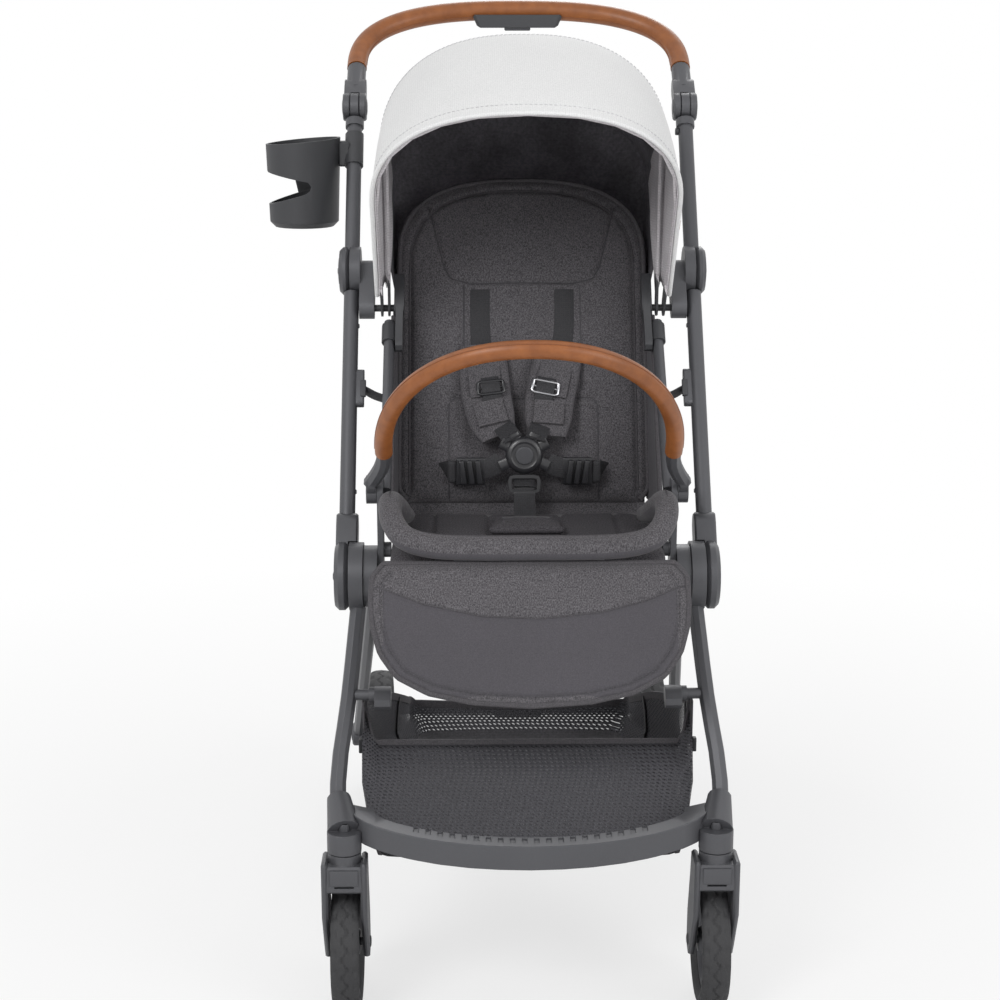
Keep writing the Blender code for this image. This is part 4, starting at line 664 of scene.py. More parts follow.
BACK = Matrix.Translation(SHIFT) @ Matrix((
    (1, 0, 0, 0), (0, math.sin(BACK_LEAN), -math.cos(BACK_LEAN), BACK_FOOT[0]),
    (0, math.cos(BACK_LEAN), math.sin(BACK_LEAN), BACK_FOOT[1]), (0, 0, 0, 1)))
BACK_OUT = BACK.to_3x3() @ Vector((0, 0, 1))
HANG = Matrix.Translation(at(0, *LEG_AXIS)) @ Matrix.Rotation(math.pi / 2 - LEG_HANG, 4, "X")
HANG_OUT = HANG.to_3x3() @ Vector((0, 0, 1))


def on_back(x, up, out):
    """A place in the back rest's own axes."""
    return BACK @ Vector((x, up, out))


def rear_cloth():
    """The cloth that closes the canopy behind, from its rear hem down to the edge of the back rest."""
    rows, cols = 16, 88
    hem = canopy_line(REAR_EDGE, cols + 1, 0.93, -0.0008, 160)
    edge = [(-0.1395, 0.215)] + arch(0.1395, 0.094, 2.6, 60, 0.285) + [(0.1395, 0.215)]
    edge = even([on_back(x, up, -0.0165) for x, up in edge], cols + 1)
    verts = []
    for i in range(rows + 1):
        s = i / rows
        belly = math.sin(math.pi * s)
        for j in range(cols + 1):
            fold = 0.0009 * math.sin(j * 0.55 + 1.3 * math.sin(j * 0.13)) * belly ** 2
            verts.append(hem[j].lerp(edge[j], s) + Vector((0, 0.009 * belly + fold, -0.004 * belly)))
    verts += [v + Vector((0, -0.0014, -0.0003)) for v in verts]
    faces = cloth_faces(rows, cols)
    cloth = mesh_object("canopy_rear_cloth", verts, faces, [KNIT, CANOPY_LINING], 60)
    index = [0, 1] * (rows * cols)
    cloth.data.polygons.foreach_set("material_index", index + [1] * (len(faces) - len(index)))
    between(cloth)
    on(sweep("rear_cloth_binding", edge, circle(0.0024, 8), KNIT, up=BACK_OUT), "seat_back", "knit")


rear_cloth()


# Padded pieces

def inflate(obj, voxel, limit, out, pressure=4.0):
    """Remeshes a pad, blows it up as cloth and keeps each point within a limit of its start.

    The pad keeps its outline: each point moves only along out, the direction of its thickness."""
    out = np.array(Vector(out).normalized())
    remesh = obj.modifiers.new("even", "REMESH")
    remesh.mode = "VOXEL"
    remesh.voxel_size = voxel
    apply_modifiers(obj)
    start = np.empty(len(obj.data.vertices) * 3)
    obj.data.vertices.foreach_get("co", start)
    cloth = obj.modifiers.new("blown", "CLOTH")
    cloth.settings.quality = 4
    cloth.settings.use_pressure = True
    cloth.settings.uniform_pressure_force = pressure
    cloth.settings.effector_weights.gravity = 0
    cloth.settings.tension_stiffness = 12
    cloth.settings.bending_stiffness = 0.6
    for step in range(1, 21):
        bpy.context.scene.frame_set(step)
    apply_modifiers(obj)
    bpy.context.scene.frame_set(1)
    end = np.empty_like(start)
    obj.data.vertices.foreach_get("co", end)
    move = (end - start).reshape(-1, 3)
    size = np.linalg.norm(move, axis=1, keepdims=True)
    move *= np.minimum(1.0, limit / np.maximum(size, 1e-9))
    move = np.outer(move @ out, out)
    obj.data.vertices.foreach_set("co", (start.reshape(-1, 3) + move).ravel())
    finer = obj.modifiers.new("finer", "SUBSURF")
    finer.levels = finer.render_levels = 1
    apply_modifiers(obj)
    obj.data.shade_smooth()


def slab(name, outline, thickness, matrix, mat):
    """A flat outline made solid, a little smaller at its faces, set by a matrix."""
    n = len(outline)
    cx = sum(p[0] for p in outline) / n
    cy = sum(p[1] for p in outline) / n
    verts = [matrix @ Vector((cx + (x - cx) * shrink, cy + (y - cy) * shrink, z * thickness))
             for shrink, z in ((0.975, -0.5), (1.0, -0.25), (1.0, 0.25), (0.975, 0.5)) for x, y in outline]
    return mesh_object(name, verts, tube_faces(4, n), mat, 60)


def seam(obj, lines, depth, width, into):
    """Presses sewn channels into the front of a pad, along flat lines in the axes that into leads to."""
    segments = [(np.array(a), np.array(b)) for line in lines for a, b in zip(line, line[1:])]
    for vert in obj.data.vertices:
        x, y, height = into @ vert.co
        if height < 0:
            continue
        p = np.array((x, y))
        best = 1.0
        for a, b in segments:
            ab = b - a
            t = min(max(float(np.dot(p - a, ab) / max(np.dot(ab, ab), 1e-12)), 0), 1)
            best = min(best, float(np.linalg.norm(p - a - ab * t)))
        if best < width * 3:
            vert.co -= vert.normal * depth * math.exp(-(best / width) ** 2)


def laid(obj, matrix, line, lift):
    """A flat line dropped from in front onto a pad."""
    tree = BVHTree.FromObject(obj, bpy.context.evaluated_depsgraph_get())
    down = -(matrix.to_3x3() @ Vector((0, 0, 1)))
    hits = [tree.ray_cast(matrix @ Vector((x, y, 0.055)), down) for x, y in line]
    return [place + normal * lift for place, normal, _, _ in hits if place is not None]


def shrunk(outline, middle, across, down):
    """An outline drawn in towards a point on its middle line."""
    return [(x * across, middle + (y - middle) * down) for x, y in outline]


def back_outline(inset):
    half = 0.143 - inset
    points = [(half - 0.010, inset), (half, 0.012 + inset)]
    points += [(-x, up) for x, up in arch(half, 0.100 - inset, 2.6, 40, 0.285)]
    return points + [(-half, 0.012 + inset), (-half + 0.010, inset)]


def back_pad():
    pad = slab("back_cushion", back_outline(0.0), 0.019, BACK, HEATHER)
    inflate(pad, 0.0055, 0.006, BACK_OUT)
    into = BACK.inverted()
    half, top = 0.067, 0.254
    head = [(0.060, 0.256), (0.082, 0.262), (0.090, 0.276), (0.100, 0.318), (0.108, 0.350)]
    head = [(-x, y) for x, y in reversed(head)] + [(0.0, 0.257)] + head
    recess = [[(-half, top), (-half, 0.130)], [(half, top), (half, 0.130)]]
    lower = [(-0.085, 0.004), (-0.085, 0.112), (-0.079, 0.120), (0.079, 0.120), (0.085, 0.112), (0.085, 0.004)]
    border = shrunk(back_outline(0.0)[1:-1], 0.012, 0.905, 0.958)
    seam(pad, [head, *recess, lower, border], 0.0030, 0.0026, into)
    for vert in pad.data.vertices:
        x, up, out = into @ vert.co
        if out > 0 and abs(x) < half and 0.02 < up < top:
            vert.co -= BACK_OUT * 0.0025 * min(1, (half - abs(x)) / 0.006, (top - up) / 0.006)
    on(pad, "seat_back", "heather", "seat_back_pad")
    threads = []
    for line, radius, mat in [(line, 0.0010, LINING) for line in (head, *recess, lower)] + [
            (border, 0.0013, PIPING)]:
        path = laid(pad, BACK, even_flat(line, 70), -0.0002)
        threads.append(sweep("line", path, circle(radius, 6), mat, up=BACK_OUT))
    on(joined("back_seams", threads), "seat_back", "heather")
    for name, inset, out, points, section, mat in (
            ("back_edge_piping", 0.0015, 0.0075, LINE_POINTS, circle(0.0030, 10), PIPING),
            ("back_rear_binding", 0.002, -0.0085, 120, circle(0.0026, 8), LINING)):
        edge = even([on_back(x, y, out) for x, y in back_outline(inset)], points)
        on(sweep(name, edge, section, mat, up=BACK_OUT), "seat_back", "heather")


def leg_pad():
    right = [(0.150, 0.007), (0.162, -0.007), (0.163, -0.034), (0.161, -0.059), (0.153, -0.087),
             (0.136, -0.111), (0.104, -0.128), (0.060, -0.1375), (0, -0.1415)]
    outline = even_flat(right, 40)
    outline += [(-x, y) for x, y in reversed(outline[:-1])]
    pad = slab("leg_cushion", outline, 0.0105, HANG, [FLAT_CLOTH, HEATHER])
    inflate(pad, 0.0045, 0.0045, HANG_OUT)
    into = HANG.inverted()
    middle = -0.069
    curve = [(-0.158, -0.018), (-0.110, -0.037), (-0.050, -0.050), (0.010, -0.053), (0.075, -0.046),
             (0.120, -0.034), (0.158, -0.018)]
    seam(pad, [curve, shrunk(outline, middle, 0.945, 0.90)], 0.0018, 0.0022, into)
    for p in pad.data.polygons:
        x, y, _ = into @ p.center
        top = np.interp(x, [c[0] for c in curve], [c[1] for c in curve])
        rim = max(abs(x) / 0.151, abs(y - middle) / 0.0635) if y < -0.02 else 0
        p.material_index = 1 if y > top or rim > 1.0 else 0
    on(pad, "leg_rest", "heather", "leg_rest")
    trim = [sweep("line", laid(pad, HANG, even_flat(curve, 60), 0.0), circle(0.0009, 6), PIPING, up=HANG_OUT)]
    for scale in (0.945, 0.925):
        line = even_flat(shrunk(outline, middle, scale, scale - 0.045), 130)
        trim.append(stitches("row", laid(pad, HANG, line, 0.0002), THREAD, HANG_OUT, 0.0046, 0.0032, 0.0006))
    rim = even([HANG @ Vector((x, y, 0)) + HANG_OUT * 0.001 for x, y in outline], 190)
    trim.append(sweep("rim", rim, circle(0.0032, 10), PIPING, up=HANG_OUT, closed=True))
    on(joined("leg_trim", trim), "leg_rest", "heather")


def rounded_plan(half, low, high, corner, count=6):
    """A rectangle with round corners."""
    points = []
    for cx, cy, base in ((half - corner, low + corner, -90), (half - corner, high - corner, 0),
                         (-half + corner, high - corner, 90), (-half + corner, low + corner, 180)):
        for i in range(count + 1):
            angle = math.radians(base + 90 * i / count)
            points.append((cx + corner * math.cos(angle), cy + corner * math.sin(angle)))
    return points


def seat_cushion():
    # The cushion takes the darker heather, whose extra darkness is painted shade.
    pan = slab("seat_cushion", rounded_plan(0.1455, PAN_FRONT, PAN_REAR, 0.028), 0.019,
               Matrix.Translation(at(0, 0, PAN_MIDDLE)), SHADED_SEAT_HEATHER)
    inflate(pan, 0.0055, 0.005, (0, 0, 1))
    channels = [[(x + SHIFT.x, PAN_REAR + SHIFT.y), (x + SHIFT.x, PAN_FRONT + SHIFT.y)]
                for x in (-0.101, -0.040, 0.040, 0.101)]
    seam(pan, channels, 0.0028, 0.0026, Matrix.Translation((0, 0, -PAN_MIDDLE)))
    on(pan, "push_frame", "heather", "seat_pan")


def seat_crease():
    """The cloth over the crease behind the seat."""
    width = 0.276
    line = [at(0, 0.228, 0.4755), at(0, 0.244, 0.4725), at(0, 0.254, 0.4735), at(0, 0.261, 0.4800),
            on_back(0, 0.012, -0.002), on_back(0, 0.030, -0.002)]
    crease = sweep("seat_crease", round_path(line, 6), band(width, 0.0016), HEATHER, up=(0, -0.7, 0.7))
    between(crease)


def seat_roll():
    """The padded roll round the seat's front and sides, plain cloth below and heather above; the darker plain cloth
    on the lower half is also painted shade under the roll.
    """
    z, sides = PAN_TOP + 0.0135, 24
    right = [(0.060, 0.0325, z), (0.100, 0.034, z + 0.002), (0.128, 0.040, z + 0.009),
             (0.1415, 0.054, z + 0.023), (0.1450, 0.078, z + 0.034), (0.143, 0.098, z + 0.032),
             (0.1385, 0.120, z + 0.021), (0.134, 0.150, z + 0.008), (0.130, 0.175, z)]
    path = [at(-x, y, h) for x, y, h in reversed(right)] + [at(0, 0.032, z)] + [at(*p) for p in right]
    path = even(round_path(path, 8), LINE_POINTS)
    roll = sweep("seat_roll", path, [(0.0122 * a, 0.0128 * b) for a, b in circle(1, sides)],
                 [HEATHER, FLAT_CLOTH], scale=lambda t: 0.72 + 0.28 * min(1, t * 12, (1 - t) * 12))
    # Faces below the roll's middle take the darker plain cloth: a smooth cloth, and painted shade on the roll's
    # underside.
    for k, p in enumerate(roll.data.polygons):
        if p.center.z < path[min(k // sides, LINE_POINTS - 1)].z - 0.0035:
            p.material_index = 1
    on(roll, "push_frame", "heather", "seat_rim")
    crest = [p + Vector((0, 0, 0.0126)) for p in path[3:-3]]
    under = [(0.100, 0.0425, 0.460), (0.128, 0.046, 0.461), (0.134, 0.062, 0.462)]
    under = [at(-x, y, h) for x, y, h in reversed(under)] + [at(0, 0.0415, 0.459)] + [at(*p) for p in under]
    on(joined("seat_trim", [
        sweep("crest", crest, circle(0.0010, 6), PIPING),
        sweep("under_band", even(round_path(under, 8), 80), band(0.020, 0.0016), LINING, up=(0, -1, 0.02)),
    ]), "push_frame", "heather")


back_pad()
leg_pad()
seat_cushion()
seat_crease()
seat_roll()


# Cloth and straps between the seat and the push frame

def up_tube(distance):
    """A place up the push frame's tubes."""
    return LOWER_HUB[0] + distance * math.sin(LEAN), LOWER_HUB[1] + distance * math.cos(LEAN)


def gusset(side, sign):
    """Cloth at the seat's side, from the side tube to the back rest."""
    rows, cols = 20, 8
    verts = []
    for i in range(rows + 1):
        t = i / rows
        front = at(sign * 0.1465, 0.150 + 0.154 * t, 0.486 + 0.206 * t)
        rear = on_back(sign * 0.1415, 0.006 + 0.244 * t, -0.004)
        for j in range(cols + 1):
            s = j / cols
            p = front.lerp(rear, s)
            p.x += sign * 0.0035 * math.sin(math.pi * s)
            verts.append(p)
    edge = even([v + Vector((0, -0.002, 0)) for v in verts[::cols + 1]], 40)
    verts += [v - Vector((sign * CLOTH_WALL, 0, 0)) for v in verts]
    piece = mesh_object("side_gusset_" + side, verts, cloth_faces(rows, cols), FLAT_CLOTH, 60)
    between(piece)
    binding = sweep("gusset_binding_" + side, edge, circle(0.0028, 8), PIPING, up=(sign, 0, 0))
    on(binding, "push_frame", "heather")


def side_strap(side, sign):
    """From the ladder buckle on the middle tube to the seat."""
    y, z = up_tube(0.2225)
    knots = [at(sign * x, y + back, z - down) for x, back, down in (
        (0.1815, 0.001, 0), (0.176, -0.001, 0.003), (0.166, -0.003, 0.008), (0.1505, -0.004, 0.013))]
    web = sweep("web", round_path(knots, 8), band(0.0150, 0.0016), WEBBING, up=(0, -0.7, -0.7))
    keeper = soft_box((0.0030, 0.0022, 0.0100), PLASTIC, at(sign * 0.1795, y - 0.006, z + 0.001),
                      Matrix.Rotation(-LEAN, 4, "X"), 0.5)
    on(joined("side_strap_" + side, [web, keeper]), "push_frame", "webbing")


# Harness: shoulder straps with covers and slides, waist straps with adjusters, buckle and crotch strap

def shoulder(side, sign, cover_at, slide_in, slide_mat):
    """cover_at gives the cover's distance from the middle at five heights, slide_in the slide's shift."""
    buckle_end = at(sign * 0.0125, BUCKLE[0] - 0.001, BUCKLE[1] + 0.0185)
    path = [on_back(sign * x, up, out) for x, up, out in (
        (0.0485, 0.268, 0.0085), (0.0485, 0.250, 0.0125), ((0.049 + cover_at[0]) / 2, 0.190, 0.0135),
        (cover_at[2], 0.130, 0.0190), (cover_at[3] - 0.005, 0.095, 0.0260))]
    strap = sweep("shoulder_web_" + side, round_path(path + [buckle_end], 12), band(0.0225, 0.0018), WEBBING,
                  up=-BACK_OUT)
    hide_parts("shoulder_strap_" + side)
    between(strap)

    heights = ((0.180, 0.0175), (0.152, 0.0210), (0.120, 0.0245), (0.090, 0.0300), (0.068, 0.0355))
    path = round_path([on_back(sign * x, up, out) for x, (up, out) in zip(cover_at, heights)], 10)

    def width(t):
        return 0.74 + 0.26 * math.sin(math.pi * min(1, 0.18 + t * 0.74)) - 0.22 * max(0, t - 0.75) * 2

    section = [(0.028 * signed(a, 0.55), 0.0058 * signed(b, 0.8)) for a, b in circle(1, 28)]
    cover = sweep("shoulder_cover_" + side, path, section, HEATHER, up=BACK_OUT, scale=width)
    between(cover)

    def raised(places):
        return round_path([path[k] + BACK_OUT * height for k, height in places], 6)

    trim = []
    for way in (-1, 1):
        edge = [p + across * way * 0.0268 * width(i / (len(path) - 1)) + BACK_OUT * 0.0012
                for i, (p, across) in enumerate(zip(path, beside(path, BACK_OUT)))]
        trim.append(sweep("edge", edge, circle(0.0017, 8), PIPING, up=BACK_OUT))
    trim += [sweep("pocket", raised(((10, 0.0062), (16, 0.0085), (21, 0.0070))), band(0.036, 0.0032), HEATHER,
                   up=BACK_OUT),
             sweep("binding", raised(((23, 0.0074), (33, 0.0078))), band(0.034, 0.0036), HEATHER, up=BACK_OUT)]
    between(joined("shoulder_trim_" + side, trim))

    centre = path[18] + BACK_OUT * 0.0105 - Vector((sign * slide_in, 0, 0))
    heading = (path[20] - path[16]).normalized()
    across = heading.cross(BACK_OUT).normalized()
    corners = [centre + across * a + heading * b for a, b in
               ((-0.0145, -0.0075), (0.0145, -0.0075), (0.0145, 0.0075), (-0.0145, 0.0075))]
    web = [centre + heading * a + BACK_OUT * b for a, b in
           ((-0.017, -0.003), (-0.005, 0.0012), (0.005, 0.0012), (0.017, -0.003))]
    slide = joined("slide_" + side, [
        sweep("ring", [p + BACK_OUT * 0.0012 for p in bevelled(corners, 0.10)], circle(0.0019, 8), slide_mat,
              up=BACK_OUT, closed=True),
        sweep("bar", [centre - across * 0.0145, centre, centre + across * 0.0145], circle(0.0013, 8), slide_mat,
              up=BACK_OUT),
        sweep("web", round_path(web, 5), band(0.021, 0.0016), WEBBING, up=BACK_OUT)])
    between(slide)


def buckle():
    centre = at(0, *BUCKLE)
    facing = Vector((0, -1, 0.14)).normalized()
    across = Vector((1, 0, 0))
    tall = facing.cross(across)
    pieces = [lathe("disc", [(0.0170, -0.0055), (0.0205, -0.0040), (0.0210, 0.0005), (0.0198, 0.0032),
                             (0.0172, 0.0046), (0.0150, 0.0050), (0.0142, 0.0044), (0.0125, 0.0044)],
                    centre, facing, GLOSSY)]
    for angle, reach in ((28, 0.030), (152, 0.030), (62, 0.027), (118, 0.027), (205, 0.030), (335, 0.030)):
        a = math.radians(angle)
        out = across * math.cos(a) + tall * math.sin(a)
        base = centre + out * 0.017 - facing * 0.0012
        tip = centre + out * reach - facing * 0.0012
        pieces.append(sweep("horn", [base, base.lerp(tip, 0.5), tip], band(0.0125, 0.0060), GLOSSY, up=facing))
    corners = [centre + tall * -0.0300 + across * x + tall * y for x, y in
               ((-0.0150, 0.006), (0.0150, 0.006), (0.0165, 0.000), (0.0150, -0.0115), (-0.0150, -0.0115),
                (-0.0165, 0.000))]
    section = [(-0.0020, -0.0018), (0.0020, -0.0018), (0.0020, 0.0018), (-0.0020, 0.0018)]
    pieces.append(sweep("loop", bevelled(corners, 0.15), section, GLOSSY, up=facing, closed=True))
    strap = [centre + tall * -0.022 - facing * 0.001, centre + tall * -0.040 - facing * 0.001,
             at(0, 0.206, PAN_TOP + 0.008), at(0, 0.172, PAN_TOP + 0.0045), at(0, 0.150, PAN_TOP + 0.0035)]
    pieces.append(sweep("crotch_web", round_path(strap, 8), band(0.024, 0.0020), WEBBING, up=(0, 0.3, 1)))
    on(joined("buckle_fine", pieces), "push_frame", "webbing", "buckle_body")
    outline = [(-0.042, 0.128), (-0.034, 0.176), (-0.026, 0.186), (0.026, 0.186), (0.034, 0.176), (0.042, 0.128)]
    pad = slab("crotch_cushion", outline, 0.008, Matrix.Translation(at(0, 0, PAN_TOP + 0.0065)), SHADED_SEAT_HEATHER)
    inflate(pad, 0.0040, 0.0035, (0, 0, 1))
    on(pad, "push_frame", "heather")
    half = 0.026
    line = [at(x, 0.160 + 0.004 * (1 - (x / half) ** 2), PAN_TOP + 0.0128) for x in np.linspace(-half, half, 15)]
    on(sweep("crotch_slot", line, band(0.0065, 0.0022), LINING), "push_frame", "heather")
    for side, sign in SIDES:
        knots = [centre + Vector((sign * x, y, z)) for x, y, z in (
            (0.026, 0, -0.008), (0.040, 0.001, -0.0145), (0.062, 0.006, -0.0190), (0.082, 0.016, -0.0205),
            (0.094, 0.030, -0.026))]
        made = [sweep("waist_web", round_path(knots, 8), band(0.0220, 0.0018), WEBBING, up=(0, -1, 0.1))]
        middle = centre + Vector((sign * 0.060, 0.0035, -0.0190))
        made += [soft_box((0.0030, 0.0042, 0.0135), GLOSSY, middle + Vector((sign * x, -0.0045, 0)),
                          Matrix.Rotation(sign * math.radians(8), 4, "Y"), 0.5) for x in (-0.009, 0, 0.009)]
        made.append(soft_box((0.0165, 0.0028, 0.0155), GLOSSY, middle, bevel=0.6))
        made.append(soft_box((0.0050, 0.0050, 0.0125), WEBBING, middle + Vector((sign * 0.021, 0.003, -0.001)),
                             bevel=0.7))
        on(joined("waist_" + side, made), "push_frame", "webbing")


for side, sign in SIDES:
    gusset(side, sign)
    side_strap(side, sign)
shoulder("left", -1, (0.047, 0.045, 0.042, 0.036, 0.028), 0.006, GLOSSY)
shoulder("right", 1, (0.044, 0.038, 0.031, 0.028, 0.027), 0.007, STEEL)
buckle()


# Basket: a sagging shell of mesh with bound edges, hung from straps

BASKET_FRONT, BASKET_REAR = 0.078, 0.431


def round_square(corner, count):
    """A square from -1 to 1 with round corners, from (1, 0) round to the same place."""
    points = [(1, 0, 0)]
    for k, (cx, cy) in enumerate(((1, 1), (-1, 1), (-1, -1), (1, -1))):
        for step in range(9):
            a = math.pi / 2 * (k + step / 8)
            points.append((cx * (1 - corner) + corner * math.cos(a), cy * (1 - corner) + corner * math.sin(a), 0))
    return even(points + [(1, 0, 0)], count)


def read(value, places, values):
    return float(np.interp(value, places, values))


def basket():
    loop, rows, floor_rows, steps = 112, 26, 8, 1440
    square = round_square(0.09, steps + 1)

    def wall(angle, depth):
        """A place on the wall: depth is 0 at the rim and 1 where it meets the floor."""
        nx, ny, _ = square[round(angle / (2 * math.pi) * steps) % steps]
        front = read(depth, [0, 0.18, 0.75, 0.9, 1.0], [BASKET_FRONT, 0.052, 0.0075, 0.013, 0.045])
        rear = read(depth, [0, 0.6, 1.0], [BASKET_REAR, 0.428, 0.400])
        y = (front + rear) / 2 + (rear - front) / 2 * ny
        t = min(max((y - 0.14) / 0.29, 0), 1)
        half = 0.1765 - 0.040 * t * t * (3 - 2 * t) - read(depth, [0, 0.5, 1.0], [0.0, 0.0015, 0.016])
        rim_y = (BASKET_FRONT + BASKET_REAR) / 2 + (BASKET_REAR - BASKET_FRONT) / 2 * ny
        rim_side = read(rim_y, [BASKET_FRONT, 0.090, 0.150, 0.300, 0.400, BASKET_REAR],
                        [0.305, 0.308, 0.286, 0.240, 0.200, 0.191])
        flank = min(1, max(0, (abs(nx) - 0.955) / 0.04))
        rim = (0.262 if ny < 0 else 0.186) * (1 - flank) + rim_side * flank
        if ny > 0:
            rim -= 0.005 * (1 - flank) * (1 - abs(nx))
        floor = 0.1485 + 0.004 * abs(nx) ** 3
        z = rim + (floor - rim) * read(depth, [0, 0.75, 0.9, 1.0], [0, 0.74, 0.91, 1.0])
        bulge = 0.0025 * math.sin(math.pi * depth) * math.sin(angle * 5 + 0.6) * (1 if abs(nx) > 0.9 else 0.5)
        return half * nx + bulge * nx * 0.6, y, z

    verts = []
    for i in range(rows + 1):
        depth = i / (rows - floor_rows)
        inward = max(0, i - rows + floor_rows) / floor_rows
        for j in range(loop):
            x, y, z = wall(2 * math.pi * j / loop, min(depth, 1.0))
            if inward:
                k = 1 - inward * 0.97
                x, y = x * k, 0.225 + (y - 0.225) * k
                z = z - 0.0035 * (1 - k * k) - 0.0012 * math.sin(y * 40) * (1 - k)
            verts.append(at(x, y, z))
    faces = ring_faces(rows + 1, loop) + [tuple(range(rows * loop, (rows + 1) * loop))]
    shell = mesh_object("basket_shell", verts, faces, [MESH, LINING], 60)
    for p in shell.data.polygons:
        q = p.center - SHIFT
        p.material_index = 1 if q.z < 0.156 and q.y > 0.06 else 0
    thick = shell.modifiers.new("cloth", "SOLIDIFY")
    thick.thickness = 0.0012
    thick.offset = 0
    apply_modifiers(shell)
    on(shell, "front_frame", "mesh", "basket")
    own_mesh(shell)

    def wall_line(angle, depths, shift):
        return [at(*wall(angle, d)) + Vector(shift) for d in depths]

    def round_line(depth, places, shift):
        return [at(*wall(2 * math.pi * j / 220, depth)) + Vector(shift) for j in places]

    trim = [sweep("rim", round_line(0.0, range(220), (0, 0, 0.0005)), band(0.0030, 0.0090), PIPING, closed=True)]
    for way in (-1, 1):
        line = wall_line(math.radians(270 + way * 44.0), np.linspace(0.02, 0.97, 24), (way * 0.0010, -0.0010, 0))
        trim.append(sweep("corner", line, circle(0.0021, 8), PIPING, up=(0, -1, 0)))
        for angle in (math.radians(330), math.radians(20)):
            line = wall_line(angle if way > 0 else math.pi - angle, np.linspace(0.0, 0.95, 14),
                             (-way * 0.0016, 0, 0))
            trim.append(sweep("web", line, band(0.012, 0.0012), WEBBING, up=(way, 0, 0)))
        strip = [at(way * 0.1757, 0.0775, 0.262), at(way * 0.1757, 0.0765, 0.285), at(way * 0.1755, 0.0745, 0.3125)]
        trim.append(sweep("strip", round_path(strip, 6), band(0.0135, 0.0020), PIPING, up=(way, 0, 0)))
    trim.append(sweep("low_piping", round_line(0.96, range(110, 221), (0, -0.0012, -0.0010)),
                      circle(0.0020, 8), LINING))
    trim = joined("basket_trim", trim)
    on(trim, "front_frame", "mesh")
    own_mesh(trim)
    hooks = [soft_box((0.0022, 0.0040, 0.0075), PLASTIC, at(way * 0.1790, 0.074, 0.262), bevel=0.5)
             for way in (-1, 1)]
    on(joined("basket_hooks", hooks), "front_frame", "mesh")


basket()


# Rivets and caps of the frame

UPPER_HUB = up_tube(0.370)
for side, sign in SIDES:
    pushed = [cap(sign * 0.2064, LOWER_HUB, sign, 0.0125, 0.0020, sides=28),
              cap(sign * 0.2082, LOWER_HUB, sign, 0.0042, 0.0012, PLASTIC)]
    pushed += [cap(sign * (FRAME_X - 0.0086), up_tube(d), -sign, 0.0026, 0.0013) for d in (0.300, 0.098)]
    on(joined("push_caps_" + side, pushed), "push_frame", "satin")
    on(joined("top_caps_" + side, [cap(sign * 0.2084, UPPER_HUB, sign, 0.0165, 0.0020, sides=32),
                                   cap(sign * 0.2102, UPPER_HUB, sign, 0.0040, 0.0012, PLASTIC)]),
       "handle_frame", "satin")
    on(joined("knuckle_caps_" + side, [cap(sign * 0.2088, KNUCKLE, sign, 0.0095, 0.0014, sides=24),
                                       cap(sign * 0.1817, KNUCKLE, -sign, 0.0095, 0.0014, sides=24)]),
       "handle_bar", "satin")
    on(dome("leg_rivet_" + side, at(sign * 0.1880, 0.0545, 0.2985), (-sign, -0.2, 0), 0.0024, 0.0012, SATIN),
       "front_frame", "satin")
    on(dome("boot_cap_" + side, at(sign * 0.2183, REAR_WHEEL[1], REAR_RADIUS), (sign, 0, 0), 0.0090, 0.0018,
            PLASTIC, 24), "rear_frame", "satin")


# Setting: pale floor, soft lights, white surroundings and the photograph's camera

for name, place, target, size, power in (
        ("key", (-1.6, -2.6, 2.5), (0, 0, 0.55), 1.5, 46),
        ("fill", (2.2, -2.2, 1.6), (0, 0, 0.5), 1.8, 24),
        ("back", (0.5, 2.6, 2.4), (0, 0.1, 0.6), 1.6, 26)):
    lamp = bpy.data.lights.new(name, "AREA")
    lamp.shape = "DISK"
    lamp.size = size
    lamp.energy = power
    light = bpy.data.objects.new(name, lamp)
    bpy.context.scene.collection.objects.link(light)
    light.location = place
    light.rotation_euler = (Vector(target) - Vector(place)).to_track_quat("-Z", "Y").to_euler()


def mixed(tree, share, first, second, output):
    """Ends a tree in a mix of two shaders."""
    both = node(tree, "ShaderNodeMixShader", {0: share, 1: first.outputs[0], 2: second.outputs[0]})
    node(tree, output, {"Surface": both.outputs[0]})


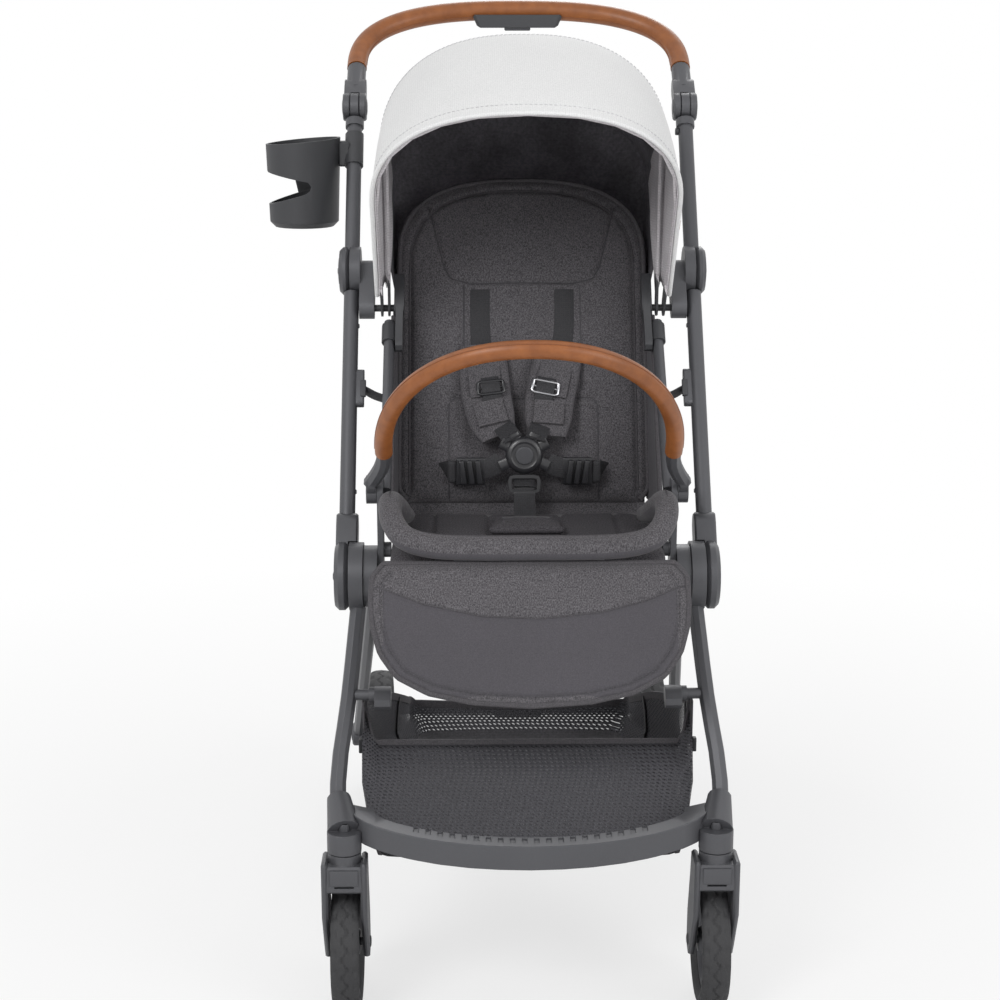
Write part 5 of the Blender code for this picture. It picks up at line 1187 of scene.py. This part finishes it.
floor = mesh_object("floor", [(-8, -8, 0), (8, -8, 0), (8, 8, 0), (-8, 8, 0)], [(0, 1, 2, 3)], [])
ground = bpy.data.materials.new("pale_floor")
ground.use_nodes = True
tree = ground.node_tree
tree.nodes.clear()
matt = node(tree, "ShaderNodeBsdfDiffuse", {"Color": (0.90, 0.90, 0.90, 1)})
glow = node(tree, "ShaderNodeEmission", {"Color": (1, 1, 1, 1), "Strength": 1.0})
rays = node(tree, "ShaderNodeLightPath")
reach = node(tree, "ShaderNodeVectorMath", {0: node(tree, "ShaderNodeTexCoord").outputs["Object"]},
             operation="LENGTH")
fade = node(tree, "ShaderNodeMapRange", {"Value": reach.outputs["Value"], "From Min": 0.55, "From Max": 1.5,
                                         "To Min": 0.68, "To Max": 1.0})
share = node(tree, "ShaderNodeMath", {0: rays.outputs["Is Camera Ray"], 1: fade.outputs["Result"]},
             operation="MULTIPLY")
mixed(tree, share.outputs[0], matt, glow, "ShaderNodeOutputMaterial")
floor.data.materials.append(ground)

world = bpy.data.worlds.new("studio")
bpy.context.scene.world = world
world.use_nodes = True
tree = world.node_tree
tree.nodes.clear()
soft = node(tree, "ShaderNodeBackground", {"Color": (1, 1, 1, 1), "Strength": 0.55})
seen = node(tree, "ShaderNodeBackground", {"Color": (1, 1, 1, 1), "Strength": 1.0})
rays = node(tree, "ShaderNodeLightPath")
clear = rays.outputs["Is Camera Ray"]
for ray in ("Is Transmission Ray", "Is Glossy Ray"):
    clear = node(tree, "ShaderNodeMath", {0: clear, 1: rays.outputs[ray]}, operation="MAXIMUM").outputs[0]
mixed(tree, clear, soft, seen, "ShaderNodeOutputWorld")

lens = bpy.data.cameras.new("camera")
lens.lens = 75
lens.sensor_width = 36
lens.clip_end = 100
camera = bpy.data.objects.new("camera", lens)
bpy.context.scene.collection.objects.link(camera)
camera.location = Vector((-0.063, -2.04, 1.04)) + SHIFT
camera.rotation_euler = (Matrix.Rotation(math.radians(-0.90), 4, "Z")
                         @ Matrix.Rotation(math.radians(90 - 13.5), 4, "X")).to_euler()
bpy.context.scene.camera = camera
bpy.context.scene.view_settings.view_transform = "Standard"
